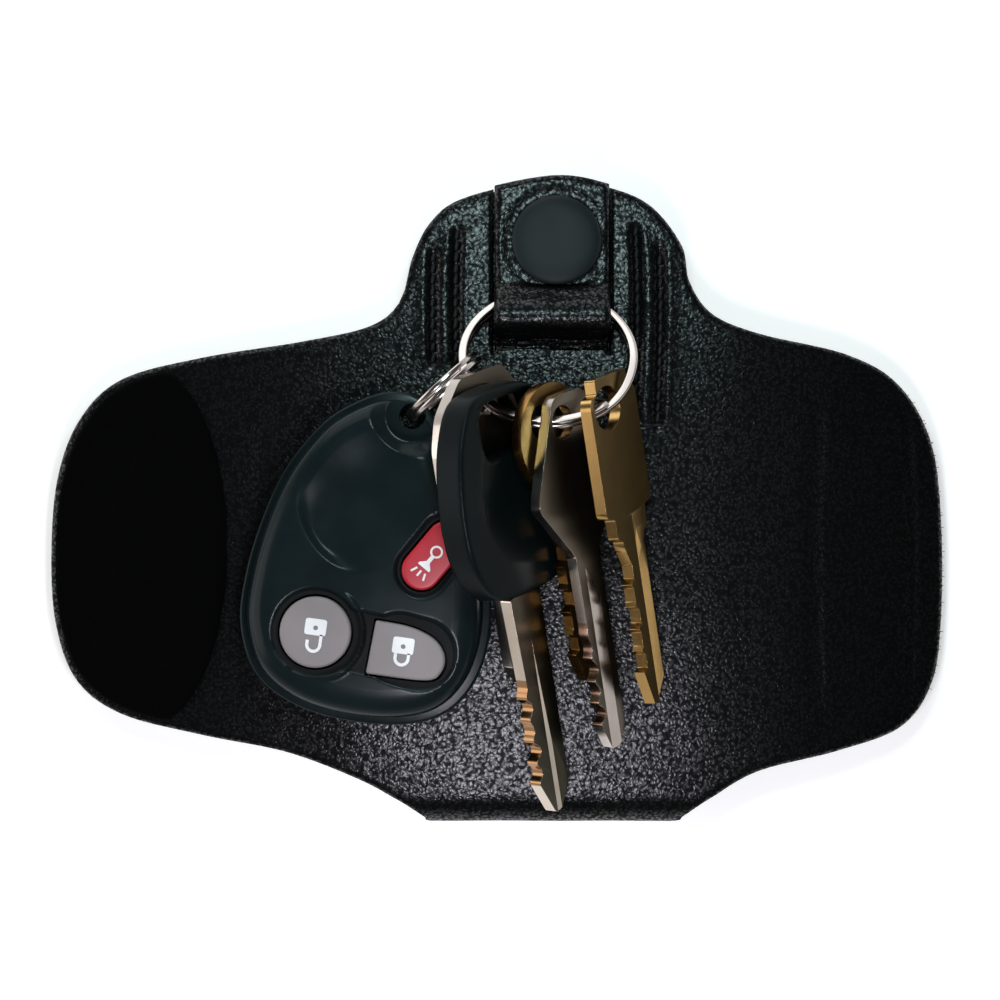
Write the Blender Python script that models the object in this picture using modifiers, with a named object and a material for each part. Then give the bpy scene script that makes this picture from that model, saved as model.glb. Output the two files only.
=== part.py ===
# Silent key holder: a leather body with two wings that wrap round the keys, a snapped
# tongue that holds a split ring, and the keys and remote that hang on that ring.
# Metres. It lies open and flat: +Z points up out of the inner face, +Y to the tongue.

import math

import bmesh
import bpy
import numpy as np
from mathutils import Matrix, Vector

mm = 0.001

# Clearances shared by every piece
fit_gap = 0.3 * mm
cut_overrun = 2.0 * mm
weld_distance = 0.01 * mm
ground_clearance = 0.3 * mm

# Leather body, seen from above
holder_width = 164.4 * mm
holder_length = 117.5 * mm
leather_thickness = 2.4 * mm
belt_gap = 5.0 * mm
wing_droop = 5.0 * mm
left_droop_start = -0.122 * holder_width
right_droop_start = 0.219 * holder_width
# open outline from the lower left corner clockwise to the lower right corner
outline_shares = [
    (-0.080, -0.498), (-0.118, -0.458), (-0.163, -0.426), (-0.236, -0.389),
    (-0.329, -0.364), (-0.419, -0.333), (-0.470, -0.282), (-0.494, -0.198),
    (-0.500, -0.091), (-0.493, 0.034), (-0.467, 0.128), (-0.419, 0.190),
    (-0.329, 0.223), (-0.215, 0.248), (-0.140, 0.272), (-0.107, 0.311),
    (-0.096, 0.370), (-0.074, 0.432), (-0.035, 0.471), (0.061, 0.500),
    (0.125, 0.486), (0.171, 0.457), (0.205, 0.396), (0.213, 0.342),
    (0.238, 0.291), (0.291, 0.260), (0.390, 0.228), (0.449, 0.181),
    (0.486, 0.093), (0.498, -0.029), (0.498, -0.184), (0.487, -0.285),
    (0.451, -0.353), (0.379, -0.389), (0.293, -0.418), (0.244, -0.455),
    (0.205, -0.498),
]

# Fold lines of the wings, and the height of the side strips they leave
left_fold_x = -0.2889 * holder_width
left_side_height = 0.0973 * holder_width
right_fold_x = 0.2111 * holder_width
right_side_height = 0.1642 * holder_width

# Belt loop: the strap that the lower edge folds into, sewn up behind the tab
strap_left_x = -0.0797 * holder_width
strap_right_x = 0.2044 * holder_width
belt_opening_length = 0.5617 * holder_length
strap_ramp_length = 9.0 * mm
back_top_inset = 0.6 * mm

# Tongue between the two slits, and the hump that the ring lies under
tab_top_y = holder_length / 2
tongue_left_x = -0.6 * mm
tongue_right_x = 20.4 * mm
tongue_root_y = tab_top_y - 31.35 * mm
hump_height = 8.8 * mm
hump_foot_y = tongue_root_y + 2.5 * mm
hump_near_y = hump_foot_y + 1.6 * mm
hump_far_y = hump_near_y + 5.0 * mm
hump_end_y = hump_far_y + 1.4 * mm
hump_foot_radius = 1.4 * mm
hump_top_radius = 2.4 * mm

# Snap fastener
snap_x = 10.7 * mm
snap_y = tab_top_y - 11.85 * mm
snap_space = 5.0 * mm
cap_radius = 8.0 * mm
cap_height = 2.0 * mm
cap_edge_height = 0.7 * mm
cap_shank_radius = 1.7 * mm
socket_radius = 6.2 * mm
socket_height = 2.9 * mm
stud_base_radius = 5.6 * mm
stud_base_height = 0.5 * mm
stud_head_radius = 2.6 * mm
stud_neck_radius = 2.0 * mm
stud_flat_share = 0.7
stud_height = 3.0 * mm
post_radius = 5.2 * mm
post_height = 0.7 * mm
post_shank_radius = 1.5 * mm

# Hook and loop patches
patch_thickness = 0.9 * mm
patch_margin = 1.1 * mm
patch_fold_margin = 1.7 * mm
loop_patch_edge_x = left_fold_x
loop_patch_round_share = 0.96
hook_patch_edge_x = right_fold_x + 0.57 * right_side_height

# Key ring: a flat wire wound twice
ring_radius = 15.2 * mm
ring_wire_width = 1.5 * mm
ring_wire_height = 0.9 * mm
ring_coil_gap = 0.3 * mm
ring_tilt = math.radians(38)
ring_x = 9.1 * mm
ring_top_height = 9.3 * mm
ring_top_y = tongue_root_y + 10.2 * mm
ring_jog_angle = math.radians(22)
ring_end_angle = math.radians(6)
ring_seam_angle = math.radians(-20)

# Keys: common slope and spacing round the ring
key_heading = math.radians(9)
key_slope = math.radians(12)
stack_lean = math.radians(50)
front_lean = math.radians(62)

cut_flat_share = 0.3
tip_slope_share = 1.6
groove_side_share = 0.14
groove_length_share = 0.86
car_groove_length_share = 0.9

# Remote
remote_width = 45.1 * mm
remote_length = 59.5 * mm
remote_height = 13.0 * mm
remote_parting_height = 6.5 * mm
remote_outline_shares = [
    (0.069, 0.500), (-0.093, 0.451), (-0.206, 0.381), (-0.327, 0.261),
    (-0.415, 0.115), (-0.476, -0.038), (-0.500, -0.191), (-0.444, -0.338),
    (-0.298, -0.433), (-0.093, -0.485), (0.137, -0.500), (0.310, -0.469),
    (0.427, -0.381), (0.488, -0.252), (0.496, -0.099), (0.452, 0.084),
    (0.363, 0.268), (0.282, 0.408), (0.202, 0.488),
]
eyelet_x = ring_x - 24.2 * mm
eyelet_y = ring_top_y - 22.5 * mm
remote_x = eyelet_x - 0.186 * remote_width
remote_y = eyelet_y - 0.427 * remote_length
eyelet_bore_radius = 2.3 * mm
eyelet_lug_height = 4.5 * mm
eyelet_relief_radius = 4.6 * mm

# Remote ring, through the eyelet and round the key ring
small_ring_radius = 8.0 * mm
small_wire_width = 1.0 * mm
small_wire_height = 0.9 * mm
small_ring_rise = math.radians(16)
small_ring_link_angle = math.radians(-80)
small_ring_seam_angle = math.radians(60)

front_mid = 1.5 * leather_thickness + belt_gap
front_top = front_mid + leather_thickness / 2
strap_mid = leather_thickness / 2
back_mid = front_mid - leather_thickness - fit_gap
fold_radius = (front_mid - strap_mid) / 2
fold_start_y = -holder_length / 2 + fold_radius + leather_thickness / 2


def start_scene():
    for thing in list(bpy.data.objects):
        bpy.data.objects.remove(thing, do_unlink=True)
    parts = bpy.data.collections.new("key_holder")
    cutters = bpy.data.collections.new("cutters")
    for collection in (parts, cutters):
        bpy.context.scene.collection.children.link(collection)
    return parts, cutters


parts, cutters = start_scene()


def material(name, colour, roughness, metallic=0.0):
    made = bpy.data.materials.new(name)
    made.use_nodes = True
    shader = made.node_tree.nodes["Principled BSDF"]
    shader.inputs["Base Color"].default_value = (*colour, 1)
    shader.inputs["Roughness"].default_value = roughness
    shader.inputs["Metallic"].default_value = metallic
    return made


leather = material("black_leather", (0.012, 0.014, 0.017), 0.45)
loop_pile = material("loop_pile", (0.006, 0.006, 0.007), 0.95)
hook_tape = material("hook_tape", (0.010, 0.010, 0.011), 0.7)
snap_black = material("snap_black", (0.020, 0.025, 0.028), 0.5)
snap_steel = material("snap_steel", (0.50, 0.50, 0.50), 0.35, 1.0)
nickel = material("nickel", (0.62, 0.57, 0.54), 0.22, 1.0)
key_nickel = material("key_nickel", (0.42, 0.36, 0.31), 0.33, 1.0)
key_steel = material("key_steel", (0.50, 0.48, 0.46), 0.3, 1.0)
brass = material("brass", (0.48, 0.30, 0.10), 0.35, 1.0)
dark_plastic = material("dark_plastic", (0.012, 0.016, 0.018), 0.35)
key_rubber = material("key_rubber", (0.010, 0.011, 0.013), 0.55)
grey_rubber = material("grey_rubber", (0.20, 0.18, 0.18), 0.6)
red_rubber = material("red_rubber", (0.50, 0.012, 0.030), 0.45)
board_green = material("board_green", (0.02, 0.09, 0.04), 0.5)
cell_steel = material("cell_steel", (0.55, 0.55, 0.53), 0.3, 1.0)


def add(name, mesh, finish, collection=parts):
    piece = bpy.data.objects.new(name, mesh)
    collection.objects.link(piece)
    if finish:
        mesh.materials.append(finish)
    return piece


def frame_at(name, matrix, parent=None, parent_matrix=None):
    # an empty on a joint's axis, placed in world coordinates
    empty = bpy.data.objects.new(name, None)
    parts.objects.link(empty)
    if parent:
        empty.parent = parent
        empty.matrix_parent_inverse = parent_matrix.inverted()
    empty.matrix_basis = matrix
    return empty


def carry(piece, frame, matrix):
    # parents a piece whose mesh is in world coordinates
    piece.parent = frame
    piece.matrix_parent_inverse = matrix.inverted()


def as_mesh(piece):
    # turns a curve object into a welded mesh object of the same name
    bpy.context.view_layer.update()
    depsgraph = bpy.context.evaluated_depsgraph_get()
    mesh = bpy.data.meshes.new_from_object(piece.evaluated_get(depsgraph))
    body = bmesh.new()
    body.from_mesh(mesh)
    bmesh.ops.remove_doubles(body, verts=body.verts, dist=weld_distance)
    bmesh.ops.recalc_face_normals(body, faces=body.faces)
    body.to_mesh(mesh)
    body.free()
    name, collection, matrix = piece.name, piece.users_collection[0], piece.matrix_world.copy()
    bpy.data.objects.remove(piece, do_unlink=True)
    made = bpy.data.objects.new(name, mesh)
    made.matrix_world = matrix
    collection.objects.link(made)
    return made


def grids(name, blocks, finish, collection=parts):
    # blocks are arrays of points in rows and columns, welded where they meet
    body = bmesh.new()
    for block in blocks:
        rows = [[body.verts.new(point) for point in row] for row in block]
        for upper, lower in zip(rows[:-1], rows[1:]):
            for a, b, c, d in zip(upper[:-1], upper[1:], lower[1:], lower[:-1]):
                body.faces.new((a, d, c, b))
    bmesh.ops.remove_doubles(body, verts=body.verts, dist=weld_distance)
    mesh = bpy.data.meshes.new(name)
    body.to_mesh(mesh)
    body.free()
    return add(name, mesh, finish, collection)


def thicken(piece, thickness):
    wall = piece.modifiers.new("thickness", "SOLIDIFY")
    wall.thickness = thickness
    wall.offset = 0
    wall.use_even_offset = True
    return piece


def loft(name, sections, finish, collection=parts):
    # a closed solid through rings of points that all have the same count
    body = bmesh.new()
    rings = [[body.verts.new(point) for point in section] for section in sections]
    for lower, upper in zip(rings[:-1], rings[1:]):
        for i in range(len(lower)):
            j = (i + 1) % len(lower)
            body.faces.new((lower[i], lower[j], upper[j], upper[i]))
    body.faces.new(rings[0])
    body.faces.new(rings[-1])
    bmesh.ops.recalc_face_normals(body, faces=body.faces)
    mesh = bpy.data.meshes.new(name)
    body.to_mesh(mesh)
    body.free()
    return add(name, mesh, finish, collection)


def plate(name, outline, thickness, finish, holes=(), collection=parts):
    # a flat outline with holes, centred on its own XY plane
    curve = bpy.data.curves.new(name, "CURVE")
    curve.dimensions = "2D"
    curve.fill_mode = "BOTH"
    curve.extrude = thickness / 2
    for points in (outline, *holes):
        spline = curve.splines.new("POLY")
        spline.points.add(len(points) - 1)
        for point, (x, y) in zip(spline.points, points):
            point.co = (x, y, 0, 1)
        spline.use_cyclic_u = True
    flat = bpy.data.objects.new(name, curve)
    collection.objects.link(flat)
    made = as_mesh(flat)
    if finish:
        made.data.materials.append(finish)
    return made


def turned(name, profile, finish, centre, steps=32, collection=parts):
    # a closed solid of revolution about the vertical through centre
    mesh = bpy.data.meshes.new(name)
    edges = [(i, i + 1) for i in range(len(profile) - 1)]
    if profile[0][0] > 0:
        edges.append((len(profile) - 1, 0))
    mesh.from_pydata([(r, 0, z) for r, z in profile], edges, [])
    piece = add(name, mesh, finish, collection)
    piece.location = (*centre, 0)
    screw = piece.modifiers.new("turn", "SCREW")
    screw.steps = screw.render_steps = steps
    screw.use_merge_vertices = True
    screw.merge_threshold = weld_distance
    return piece


def cut(piece, cutter, solver="EXACT"):
    cutter.hide_render = True
    cutter.display_type = "WIRE"
    knife = piece.modifiers.new("cut", "BOOLEAN")
    knife.operation = "DIFFERENCE"
    knife.solver = solver
    knife.object = cutter


def bevelled(piece, width, segments=2):
    edge = piece.modifiers.new("edges", "BEVEL")
    edge.width = width
    edge.segments = segments
    edge.limit_method = "ANGLE"
    edge.angle_limit = math.radians(50)
    return piece


def smooth_run(points, steps, closed=False):
    # a Catmull-Rom curve through points, steps samples to each stretch
    points = np.array(points, float)
    if closed:
        ends = np.vstack([points[-1], points, points[0], points[1]])
    else:
        ends = np.vstack([2 * points[0] - points[1], points, 2 * points[-1] - points[-2]])
    t = np.linspace(0, 1, steps, endpoint=False)[:, None]
    run = []
    for a, b, c, d in zip(ends[:-3], ends[1:-2], ends[2:-1], ends[3:]):
        run.append(0.5 * (2 * b + (c - a) * t + (2 * a - 5 * b + 4 * c - d) * t ** 2
                          + (3 * b - a - 3 * c + d) * t ** 3))
    if not closed:
        run.append(points[-1:])
    return np.vstack(run)


def arc(centre, radius, start, end, count):
    angles = np.radians(np.linspace(start, end, count))
    return [(centre[0] + radius * math.cos(a), centre[1] + radius * math.sin(a)) for a in angles]


def circle(centre, radius, count=24):
    return arc(centre, radius, 0, 360 - 360 / count, count)


# The body's outline as its upper edge and its two lower edges
outline = smooth_run([(x * holder_width, y * holder_length) for x, y in outline_shares], 6)
left_tip = int(np.argmin(outline[:, 0]))
right_tip = int(np.argmax(outline[:, 0]))
left_edge_x = outline[left_tip, 0]
right_edge_x = outline[right_tip, 0]
upper_edge = outline[left_tip:right_tip + 1]
lower_left = outline[:left_tip + 1][::-1]
lower_right = outline[right_tip:][::-1]


def upper_y(x):
    return float(np.interp(x, upper_edge[:, 0], upper_edge[:, 1]))


def lower_y(x):
    if x < strap_left_x:
        return float(np.interp(x, lower_left[:, 0], lower_left[:, 1]))
    if x > strap_right_x:
        return float(np.interp(x, lower_right[:, 0], lower_right[:, 1]))
    return -holder_length / 2


def droop(x):
    # the wings sag to either side of the flat middle, as the square of the distance
    left = max(0.0, (left_droop_start - x) / (left_droop_start + holder_width / 2))
    right = max(0.0, (x - right_droop_start) / (holder_width / 2 - right_droop_start))
    return wing_droop * (left ** 2 + right ** 2)


def bend_angle(y):
    # how far round the lower fold the sheet has gone where its outer face reaches y
    reach = (fold_start_y - y) / (fold_radius + leather_thickness / 2)
    return math.asin(min(1.0, max(0.0, reach)))


def on_fold(x, angle):
    return (x, fold_start_y - fold_radius * math.sin(angle),
            strap_mid + fold_radius * (1 + math.cos(angle)) - droop(x))


def span_columns(start, end, step, extra=()):
    count = max(2, round((end - start) / step) + 1)
    values = set(np.round(np.linspace(start, end, count), 6))
    values |= {round(x, 6) for x in extra if start < x < end}
    return sorted(values)


column_step = 3.4 * mm
fold_rows = 4
ramp_rows = 5


def build_body():
    start, end = left_fold_x + fit_gap / 2, right_fold_x - fit_gap / 2
    specials = (strap_left_x, strap_right_x, tongue_left_x, tongue_right_x)
    xs = span_columns(start, end, column_step, specials)
    inside = [x for x in xs if round(strap_left_x, 6) <= x <= round(strap_right_x, 6)]
    left = [x for x in xs if x <= round(tongue_left_x, 6)]
    right = [x for x in xs if x >= round(tongue_right_x, 6)]

    def tab_block(columns):
        return [[(x, upper_y(x), front_mid - droop(x)) for x in columns],
                [(x, min(upper_y(x), tongue_root_y), front_mid - droop(x)) for x in columns]]

    panel = [[(x, min(upper_y(x), tongue_root_y), front_mid - droop(x)) for x in xs],
             [(x, max(lower_y(x), fold_start_y), front_mid - droop(x)) for x in xs]]
    corner = [[on_fold(x, bend_angle(lower_y(x)) * k / fold_rows)
               if lower_y(x) < fold_start_y else panel[1][i] for i, x in enumerate(xs)]
              for k in range(fold_rows + 1)]
    under = [[on_fold(x, math.pi / 2 * (1 + k / fold_rows)) for x in inside]
             for k in range(fold_rows + 1)]
    ramp_start = fold_start_y + belt_opening_length
    for k in range(ramp_rows + 1):
        t = k / ramp_rows
        height = strap_mid + (back_mid - strap_mid) * t * t * (3 - 2 * t)
        under.append([(x, ramp_start + strap_ramp_length * t, height) for x in inside])
    under.append([(x, upper_y(x) - back_top_inset, back_mid) for x in inside])
    body = grids("body_leather", [tab_block(left), tab_block(right), panel, corner, under], leather)
    thicken(body, leather_thickness)
    hole = turned("post_hole", [(0, back_mid + leather_thickness / 2 + fit_gap / 2),
                                (post_shank_radius + fit_gap, back_mid + leather_thickness / 2 + fit_gap / 2),
                                (post_shank_radius + fit_gap, back_mid - leather_thickness),
                                (0, back_mid - leather_thickness)],
                  None, (snap_x, snap_y), 20, cutters)
    cut(body, hole)
    return body


def wing_piece(name, start, end):
    # a strip of a wing from start to end, outwards from its fold
    side = 1 if end > start else -1
    tip = right_edge_x if side > 0 else left_edge_x
    count = max(3, round(abs(end - start) / column_step) + 1)
    if abs(end - tip) < fit_gap:
        # columns crowd towards the rounded tip
        xs = [start + (end - start) * (1 - (1 - k / count) ** 2) for k in range(count)]
        xs.append(end - side * fit_gap / 2)
    else:
        xs = list(np.linspace(start, end, count))
    rows = [[(x, upper_y(x), front_mid - droop(x)) for x in xs],
            [(x, lower_y(x), front_mid - droop(x)) for x in xs]]
    return thicken(grids(name, [rows], leather), leather_thickness)


def patch(name, start, end, height, finish, inner_edge=None):
    # a patch laid on a wing, following the wing's outline a margin inside it
    count = max(4, round(abs(end - start) / column_step) + 1)
    tip = right_edge_x if start > 0 else left_edge_x
    side = 1 if start > 0 else -1
    share = (abs(tip) - patch_margin) / abs(tip)
    xs = [start + (end - start) * (1 - (1 - k / count) ** 2) for k in range(count + 1)]
    top, bottom = [], []
    for x in xs:
        # the outline scaled towards the wing's middle
        source = min(abs(x) / share, abs(tip) - fit_gap / 2) * side
        high, low = upper_y(source) - patch_margin, lower_y(source) + patch_margin
        if inner_edge:
            middle, half = inner_edge(x)
            high, low = min(high, middle + half), max(low, middle - half)
        top.append((x, high, height - droop(x)))
        bottom.append((x, low, height - droop(x)))
    return thicken(grids(name, [[top, bottom]], finish), patch_thickness)


def fillet(before, corner, after, radius, count=5):
    # points of an arc that rounds the corner between two others
    corner = Vector(corner)
    inward, outward = (Vector(before) - corner).normalized(), (Vector(after) - corner).normalized()
    half = inward.angle(outward) / 2
    start, end = (corner + way * radius / math.tan(half) for way in (inward, outward))
    centre = corner + (inward + outward).normalized() * radius / math.sin(half)
    turn = (end - centre).angle_signed(start - centre)
    return [centre + Matrix.Rotation(turn * k / (count - 1), 2) @ (start - centre) for k in range(count)]


def tongue_path():
    # mid line of the tongue in Y and Z: root, steep rise, hump, snap level
    snap_level = back_mid + leather_thickness + snap_space
    top = front_mid + hump_height
    corners = [(tongue_root_y + fit_gap, front_mid), (hump_foot_y, front_mid), (hump_near_y, top),
               (hump_far_y, top), (hump_end_y, snap_level), (snap_y, snap_level)]
    path = [Vector(corners[0])]
    for i, radius in enumerate((hump_foot_radius, hump_top_radius, hump_top_radius, hump_foot_radius)):
        path += fillet(*corners[i:i + 3], radius)
    return [(point.x, point.y) for point in path]


def build_tongue():
    xs = span_columns(tongue_left_x + fit_gap, tongue_right_x - fit_gap, column_step)
    path = tongue_path()
    rows = [[(x, y, z) for x in xs] for y, z in path]
    rows.append([(x, upper_y(x), path[-1][1]) for x in xs])
    tongue = thicken(grids("ring_tongue", [rows], leather), leather_thickness)
    level = path[-1][1]
    hole = turned("cap_hole", [(0, level + leather_thickness),
                               (cap_shank_radius + fit_gap, level + leather_thickness),
                               (cap_shank_radius + fit_gap, level - leather_thickness),
                               (0, level - leather_thickness)],
                  None, (snap_x, snap_y), 20, cutters)
    cut(tongue, hole)
    return tongue


def build_snap():
    centre = (snap_x, snap_y)
    level = tongue_path()[-1][1]
    over = level + leather_thickness / 2 + fit_gap
    under = level - leather_thickness / 2 - fit_gap
    base = back_mid + leather_thickness / 2 + fit_gap
    head_top = base + stud_height
    shank_end = head_top + 2 * fit_gap
    dome = [(cap_radius * math.sin(a),
             over + cap_edge_height + (cap_height - cap_edge_height) * math.cos(a))
            for a in np.linspace(0, math.pi / 2, 6)]
    cap = turned("snap_cap", dome + [(cap_radius, over), (cap_shank_radius, over),
                                     (cap_shank_radius, shank_end), (0, shank_end)],
                 snap_black, centre)
    recess = stud_head_radius + fit_gap
    socket = turned("snap_socket",
                    [(cap_shank_radius + fit_gap, under), (socket_radius, under),
                     (socket_radius, under - socket_height), (recess, under - socket_height),
                     (recess, head_top + fit_gap), (cap_shank_radius + fit_gap, head_top + fit_gap)],
                    snap_steel, centre)
    hollow = post_shank_radius + fit_gap
    stud = turned("snap_stud",
                  [(0, head_top), (stud_head_radius * stud_flat_share, head_top),
                   (stud_head_radius, head_top - stud_base_height),
                   (stud_neck_radius + fit_gap, base + stud_base_height * 2),
                   (stud_neck_radius + fit_gap, base + stud_base_height),
                   (stud_base_radius, base + stud_base_height),
                   (stud_base_radius, base), (hollow, base),
                   (hollow, head_top - stud_base_height * 2), (0, head_top - stud_base_height * 2)],
                  snap_steel, centre)
    foot = back_mid - leather_thickness / 2 - fit_gap
    post = turned("snap_post",
                  [(0, head_top - stud_base_height * 3), (post_shank_radius, head_top - stud_base_height * 3),
                   (post_shank_radius, foot), (post_radius, foot),
                   (post_radius - fit_gap, foot - post_height), (0, foot - post_height)],
                  snap_steel, centre)
    return cap, socket, stud, post


# Split rings
def coil(name, radius, width, height, gap, finish, jog_at, matrix, steps=48):
    # two flat turns, one over the other, joined by a jog; one unbroken wire
    start = ring_jog_angle + ring_end_angle
    end = 4 * math.pi - start
    count = int(steps * 2 * (end - start) / (4 * math.pi))
    level = (height + gap) / 2
    chamfer = min(width, height) / 4
    half_w, half_h = width / 2, height / 2
    section = [(half_w, half_h - chamfer), (half_w - chamfer, half_h), (chamfer - half_w, half_h),
               (-half_w, half_h - chamfer), (-half_w, chamfer - half_h), (chamfer - half_w, -half_h),
               (half_w - chamfer, -half_h), (half_w, chamfer - half_h)]
    rings = []
    for a in np.linspace(start, end, count):
        t = min(1.0, max(0.0, (a - 2 * math.pi + ring_jog_angle) / (2 * ring_jog_angle)))
        lift = level * (2 * t * t * (3 - 2 * t) - 1)
        c, s = math.cos(a + jog_at), math.sin(a + jog_at)
        rings.append([matrix @ Vector(((radius + r) * c, (radius + r) * s, lift + z))
                      for r, z in section])
    return loft(name, rings, finish)


ring_tilt_matrix = Matrix.Rotation(-ring_tilt, 4, "X")
ring_hinge = Matrix.Translation((ring_x, ring_top_y, ring_top_height))
ring_matrix = ring_hinge @ ring_tilt_matrix @ Matrix.Translation((0, -ring_radius, 0))


def on_ring(angle):
    # a point on the ring's wire, angle measured from its lowest point in the view
    return ring_matrix @ Vector((ring_radius * math.sin(angle), -ring_radius * math.cos(angle), 0))


def key_matrix(angle, slope, lean):
    return (Matrix.Translation(on_ring(angle)) @ Matrix.Rotation(key_heading, 4, "Z")
            @ Matrix.Rotation(slope, 4, "X") @ Matrix.Rotation(lean, 4, "Y"))


def blade_side(half, start, end, depth_shares, deepest):
    # one edge of a blade from its shoulder to its tip: flats cut in, with peaks between
    pitch = (start - end) / (len(depth_shares) + 0.4)
    flat = cut_flat_share * pitch
    points, y = [(half, start)], start - pitch
    for i, share in enumerate(depth_shares):
        x = half - deepest * share
        points += [(x, y + flat / 2), (x, y - flat / 2)]
        if i + 1 < len(depth_shares):
            shallow = min(share, depth_shares[i + 1]) * deepest
            rise = min(shallow, (pitch - flat) / 2)
            points.append((half - shallow + rise, y - pitch / 2))
        y -= pitch
    return points


def blade_outline(key):
    # clockwise from the right shoulder; cuts lie on the side that key["cut_side"] names
    half = key["blade_width"] / 2
    start, tip = -key["shoulder"], -key["length"]
    cut_edge = blade_side(half, start, tip + half * tip_slope_share, key["cut_shares"], key["cut_depth"])
    cut_edge.append((half, tip + half * tip_slope_share))
    plain = [(half, start), (half, tip + half)]
    nose = key["tip_width"] / 2
    right, left = (cut_edge, plain) if key["cut_side"] > 0 else (plain, cut_edge)
    run = right + [(nose, tip), (-nose, tip)] + [(-x, y) for x, y in reversed(left)]
    return [(x + key["offset"], y) for x, y in run]


def groove(name, key, frame, across, face, length_share=groove_length_share):
    # a channel milled along the blade, open at the tip
    body = bmesh.new()
    bmesh.ops.create_cube(body, size=1)
    run = (key["length"] - key["shoulder"]) * length_share
    size = (key["groove_width"], run + cut_overrun, key["groove_depth"] * 2)
    bmesh.ops.scale(body, verts=body.verts, vec=size)
    place = (key["offset"] + across, -key["length"] + run / 2 - cut_overrun / 2, face * key["thickness"] / 2)
    bmesh.ops.translate(body, verts=body.verts, vec=place)
    mesh = bpy.data.meshes.new(name)
    body.to_mesh(mesh)
    body.free()
    cutter = add(name, mesh, None, cutters)
    cutter.parent = frame
    return cutter


def build_key(name, key, bow, frame, finish):
    # bow runs clockwise from the left shoulder over the top to the right shoulder
    outline = [(x + key["offset"], y) for x, y in bow] + blade_outline(key)
    hole = [(x * key["hole_stretch"], y) for x, y in circle((0, 0), key["hole_radius"], 20)]
    made = plate(name, outline, key["thickness"], finish, [hole])
    made.parent = frame
    bevelled(made, key["edge"], 1)
    for face in (1, -1):
        across = face * key["blade_width"] * groove_side_share
        cut(made, groove(f"{name}_groove_{'front' if face > 0 else 'back'}", key, frame, across, face),
            "MANIFOLD")
    return made


nickel_left = dict(
    angle=math.radians(-50), thickness=2.2 * mm, offset=-1.2 * mm, hole_radius=2.8 * mm,
    hole_stretch=1.0,
    bow_width=26.4 * mm, bow_top=5.2 * mm, shoulder=25.0 * mm, length=51.5 * mm,
    blade_width=7.0 * mm, tip_width=2.4 * mm, cut_side=1,
    cut_depth=2.4 * mm, cut_shares=(0.5, 0.9, 0.4, 0.7, 0.35), groove_width=1.2 * mm,
    groove_depth=0.45 * mm, edge=0.35 * mm)
nickel_left_bow_shares = [(-0.13, -0.96), (-0.36, -0.86), (-0.50, -0.66), (-0.50, -0.24),
                          (-0.42, -0.02), (-0.20, 0.97), (0.25, 1.0), (0.42, -0.02),
                          (0.50, -0.24), (0.50, -0.66), (0.36, -0.86), (0.13, -0.96)]

brass_back = dict(
    angle=math.radians(-8), thickness=2.0 * mm, offset=3.0 * mm, hole_radius=3.0 * mm,
    hole_stretch=1.0,
    bow_width=19.0 * mm, bow_top=6.2 * mm, shoulder=20.0 * mm, length=48.0 * mm,
    blade_width=7.0 * mm, tip_width=2.2 * mm, cut_side=-1,
    cut_depth=2.3 * mm, cut_shares=(0.7, 0.4, 0.8, 0.3, 0.6), groove_width=1.2 * mm,
    groove_depth=0.45 * mm, edge=0.35 * mm)

nickel_right = dict(
    angle=math.radians(6), thickness=2.0 * mm, offset=1.4 * mm, hole_radius=3.0 * mm,
    hole_stretch=1.0,
    bow_width=23.0 * mm, bow_top=4.8 * mm, shoulder=24.0 * mm, length=60.4 * mm,
    blade_width=7.0 * mm, tip_width=2.2 * mm, cut_side=-1,
    cut_depth=2.3 * mm, cut_shares=(0, 0, 0.1, 0.3, 0.7, 0.45, 0.8), groove_width=1.3 * mm,
    groove_depth=0.45 * mm, edge=0.35 * mm)
nickel_right_bow_shares = [(-0.16, -0.98), (-0.50, -0.56), (-0.47, -0.46), (-0.16, 0.82),
                           (-0.10, 1.0), (0.20, 1.0), (0.27, 0.80), (0.47, -0.46),
                           (0.50, -0.56), (0.16, -0.98)]

brass_front = dict(
    angle=math.radians(38), thickness=2.0 * mm, offset=2.9 * mm, hole_radius=3.9 * mm,
    hole_stretch=1.4,
    bow_width=19.6 * mm, bow_top=5.6 * mm, shoulder=25.5 * mm, length=54.1 * mm,
    blade_width=8.2 * mm, tip_width=3.0 * mm, cut_side=-1,
    cut_depth=2.6 * mm, cut_shares=(0.6, 0.35, 0.75, 0.5, 0.65), groove_width=1.5 * mm,
    groove_depth=0.45 * mm, edge=0.35 * mm)
brass_front_slope = math.radians(9)
brass_front_bow_shares = [(-0.23, -0.97), (-0.24, -0.92), (-0.33, -0.90), (-0.34, -0.75),
                          (-0.48, -0.73), (-0.50, -0.70), (-0.50, 0.20), (-0.46, 0.45),
                          (-0.34, 0.50), (-0.34, 1.0), (0.34, 1.0), (0.34, 0.50), (0.46, 0.45),
                          (0.50, 0.20), (0.50, -0.70), (0.48, -0.73), (0.34, -0.75),
                          (0.33, -0.90), (0.24, -0.92), (0.23, -0.97)]


def bow_points(key, shares):
    # shares above the hole are of the bow's top, and those below it of the shoulder
    return [(x * key["bow_width"], y * (key["bow_top"] if y > 0 else key["shoulder"]))
            for x, y in shares]


def round_bow(key):
    half = key["bow_width"] / 2
    centre = (0, key["bow_top"] - half)
    return arc(centre, half, 245, -65, 26)


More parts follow.
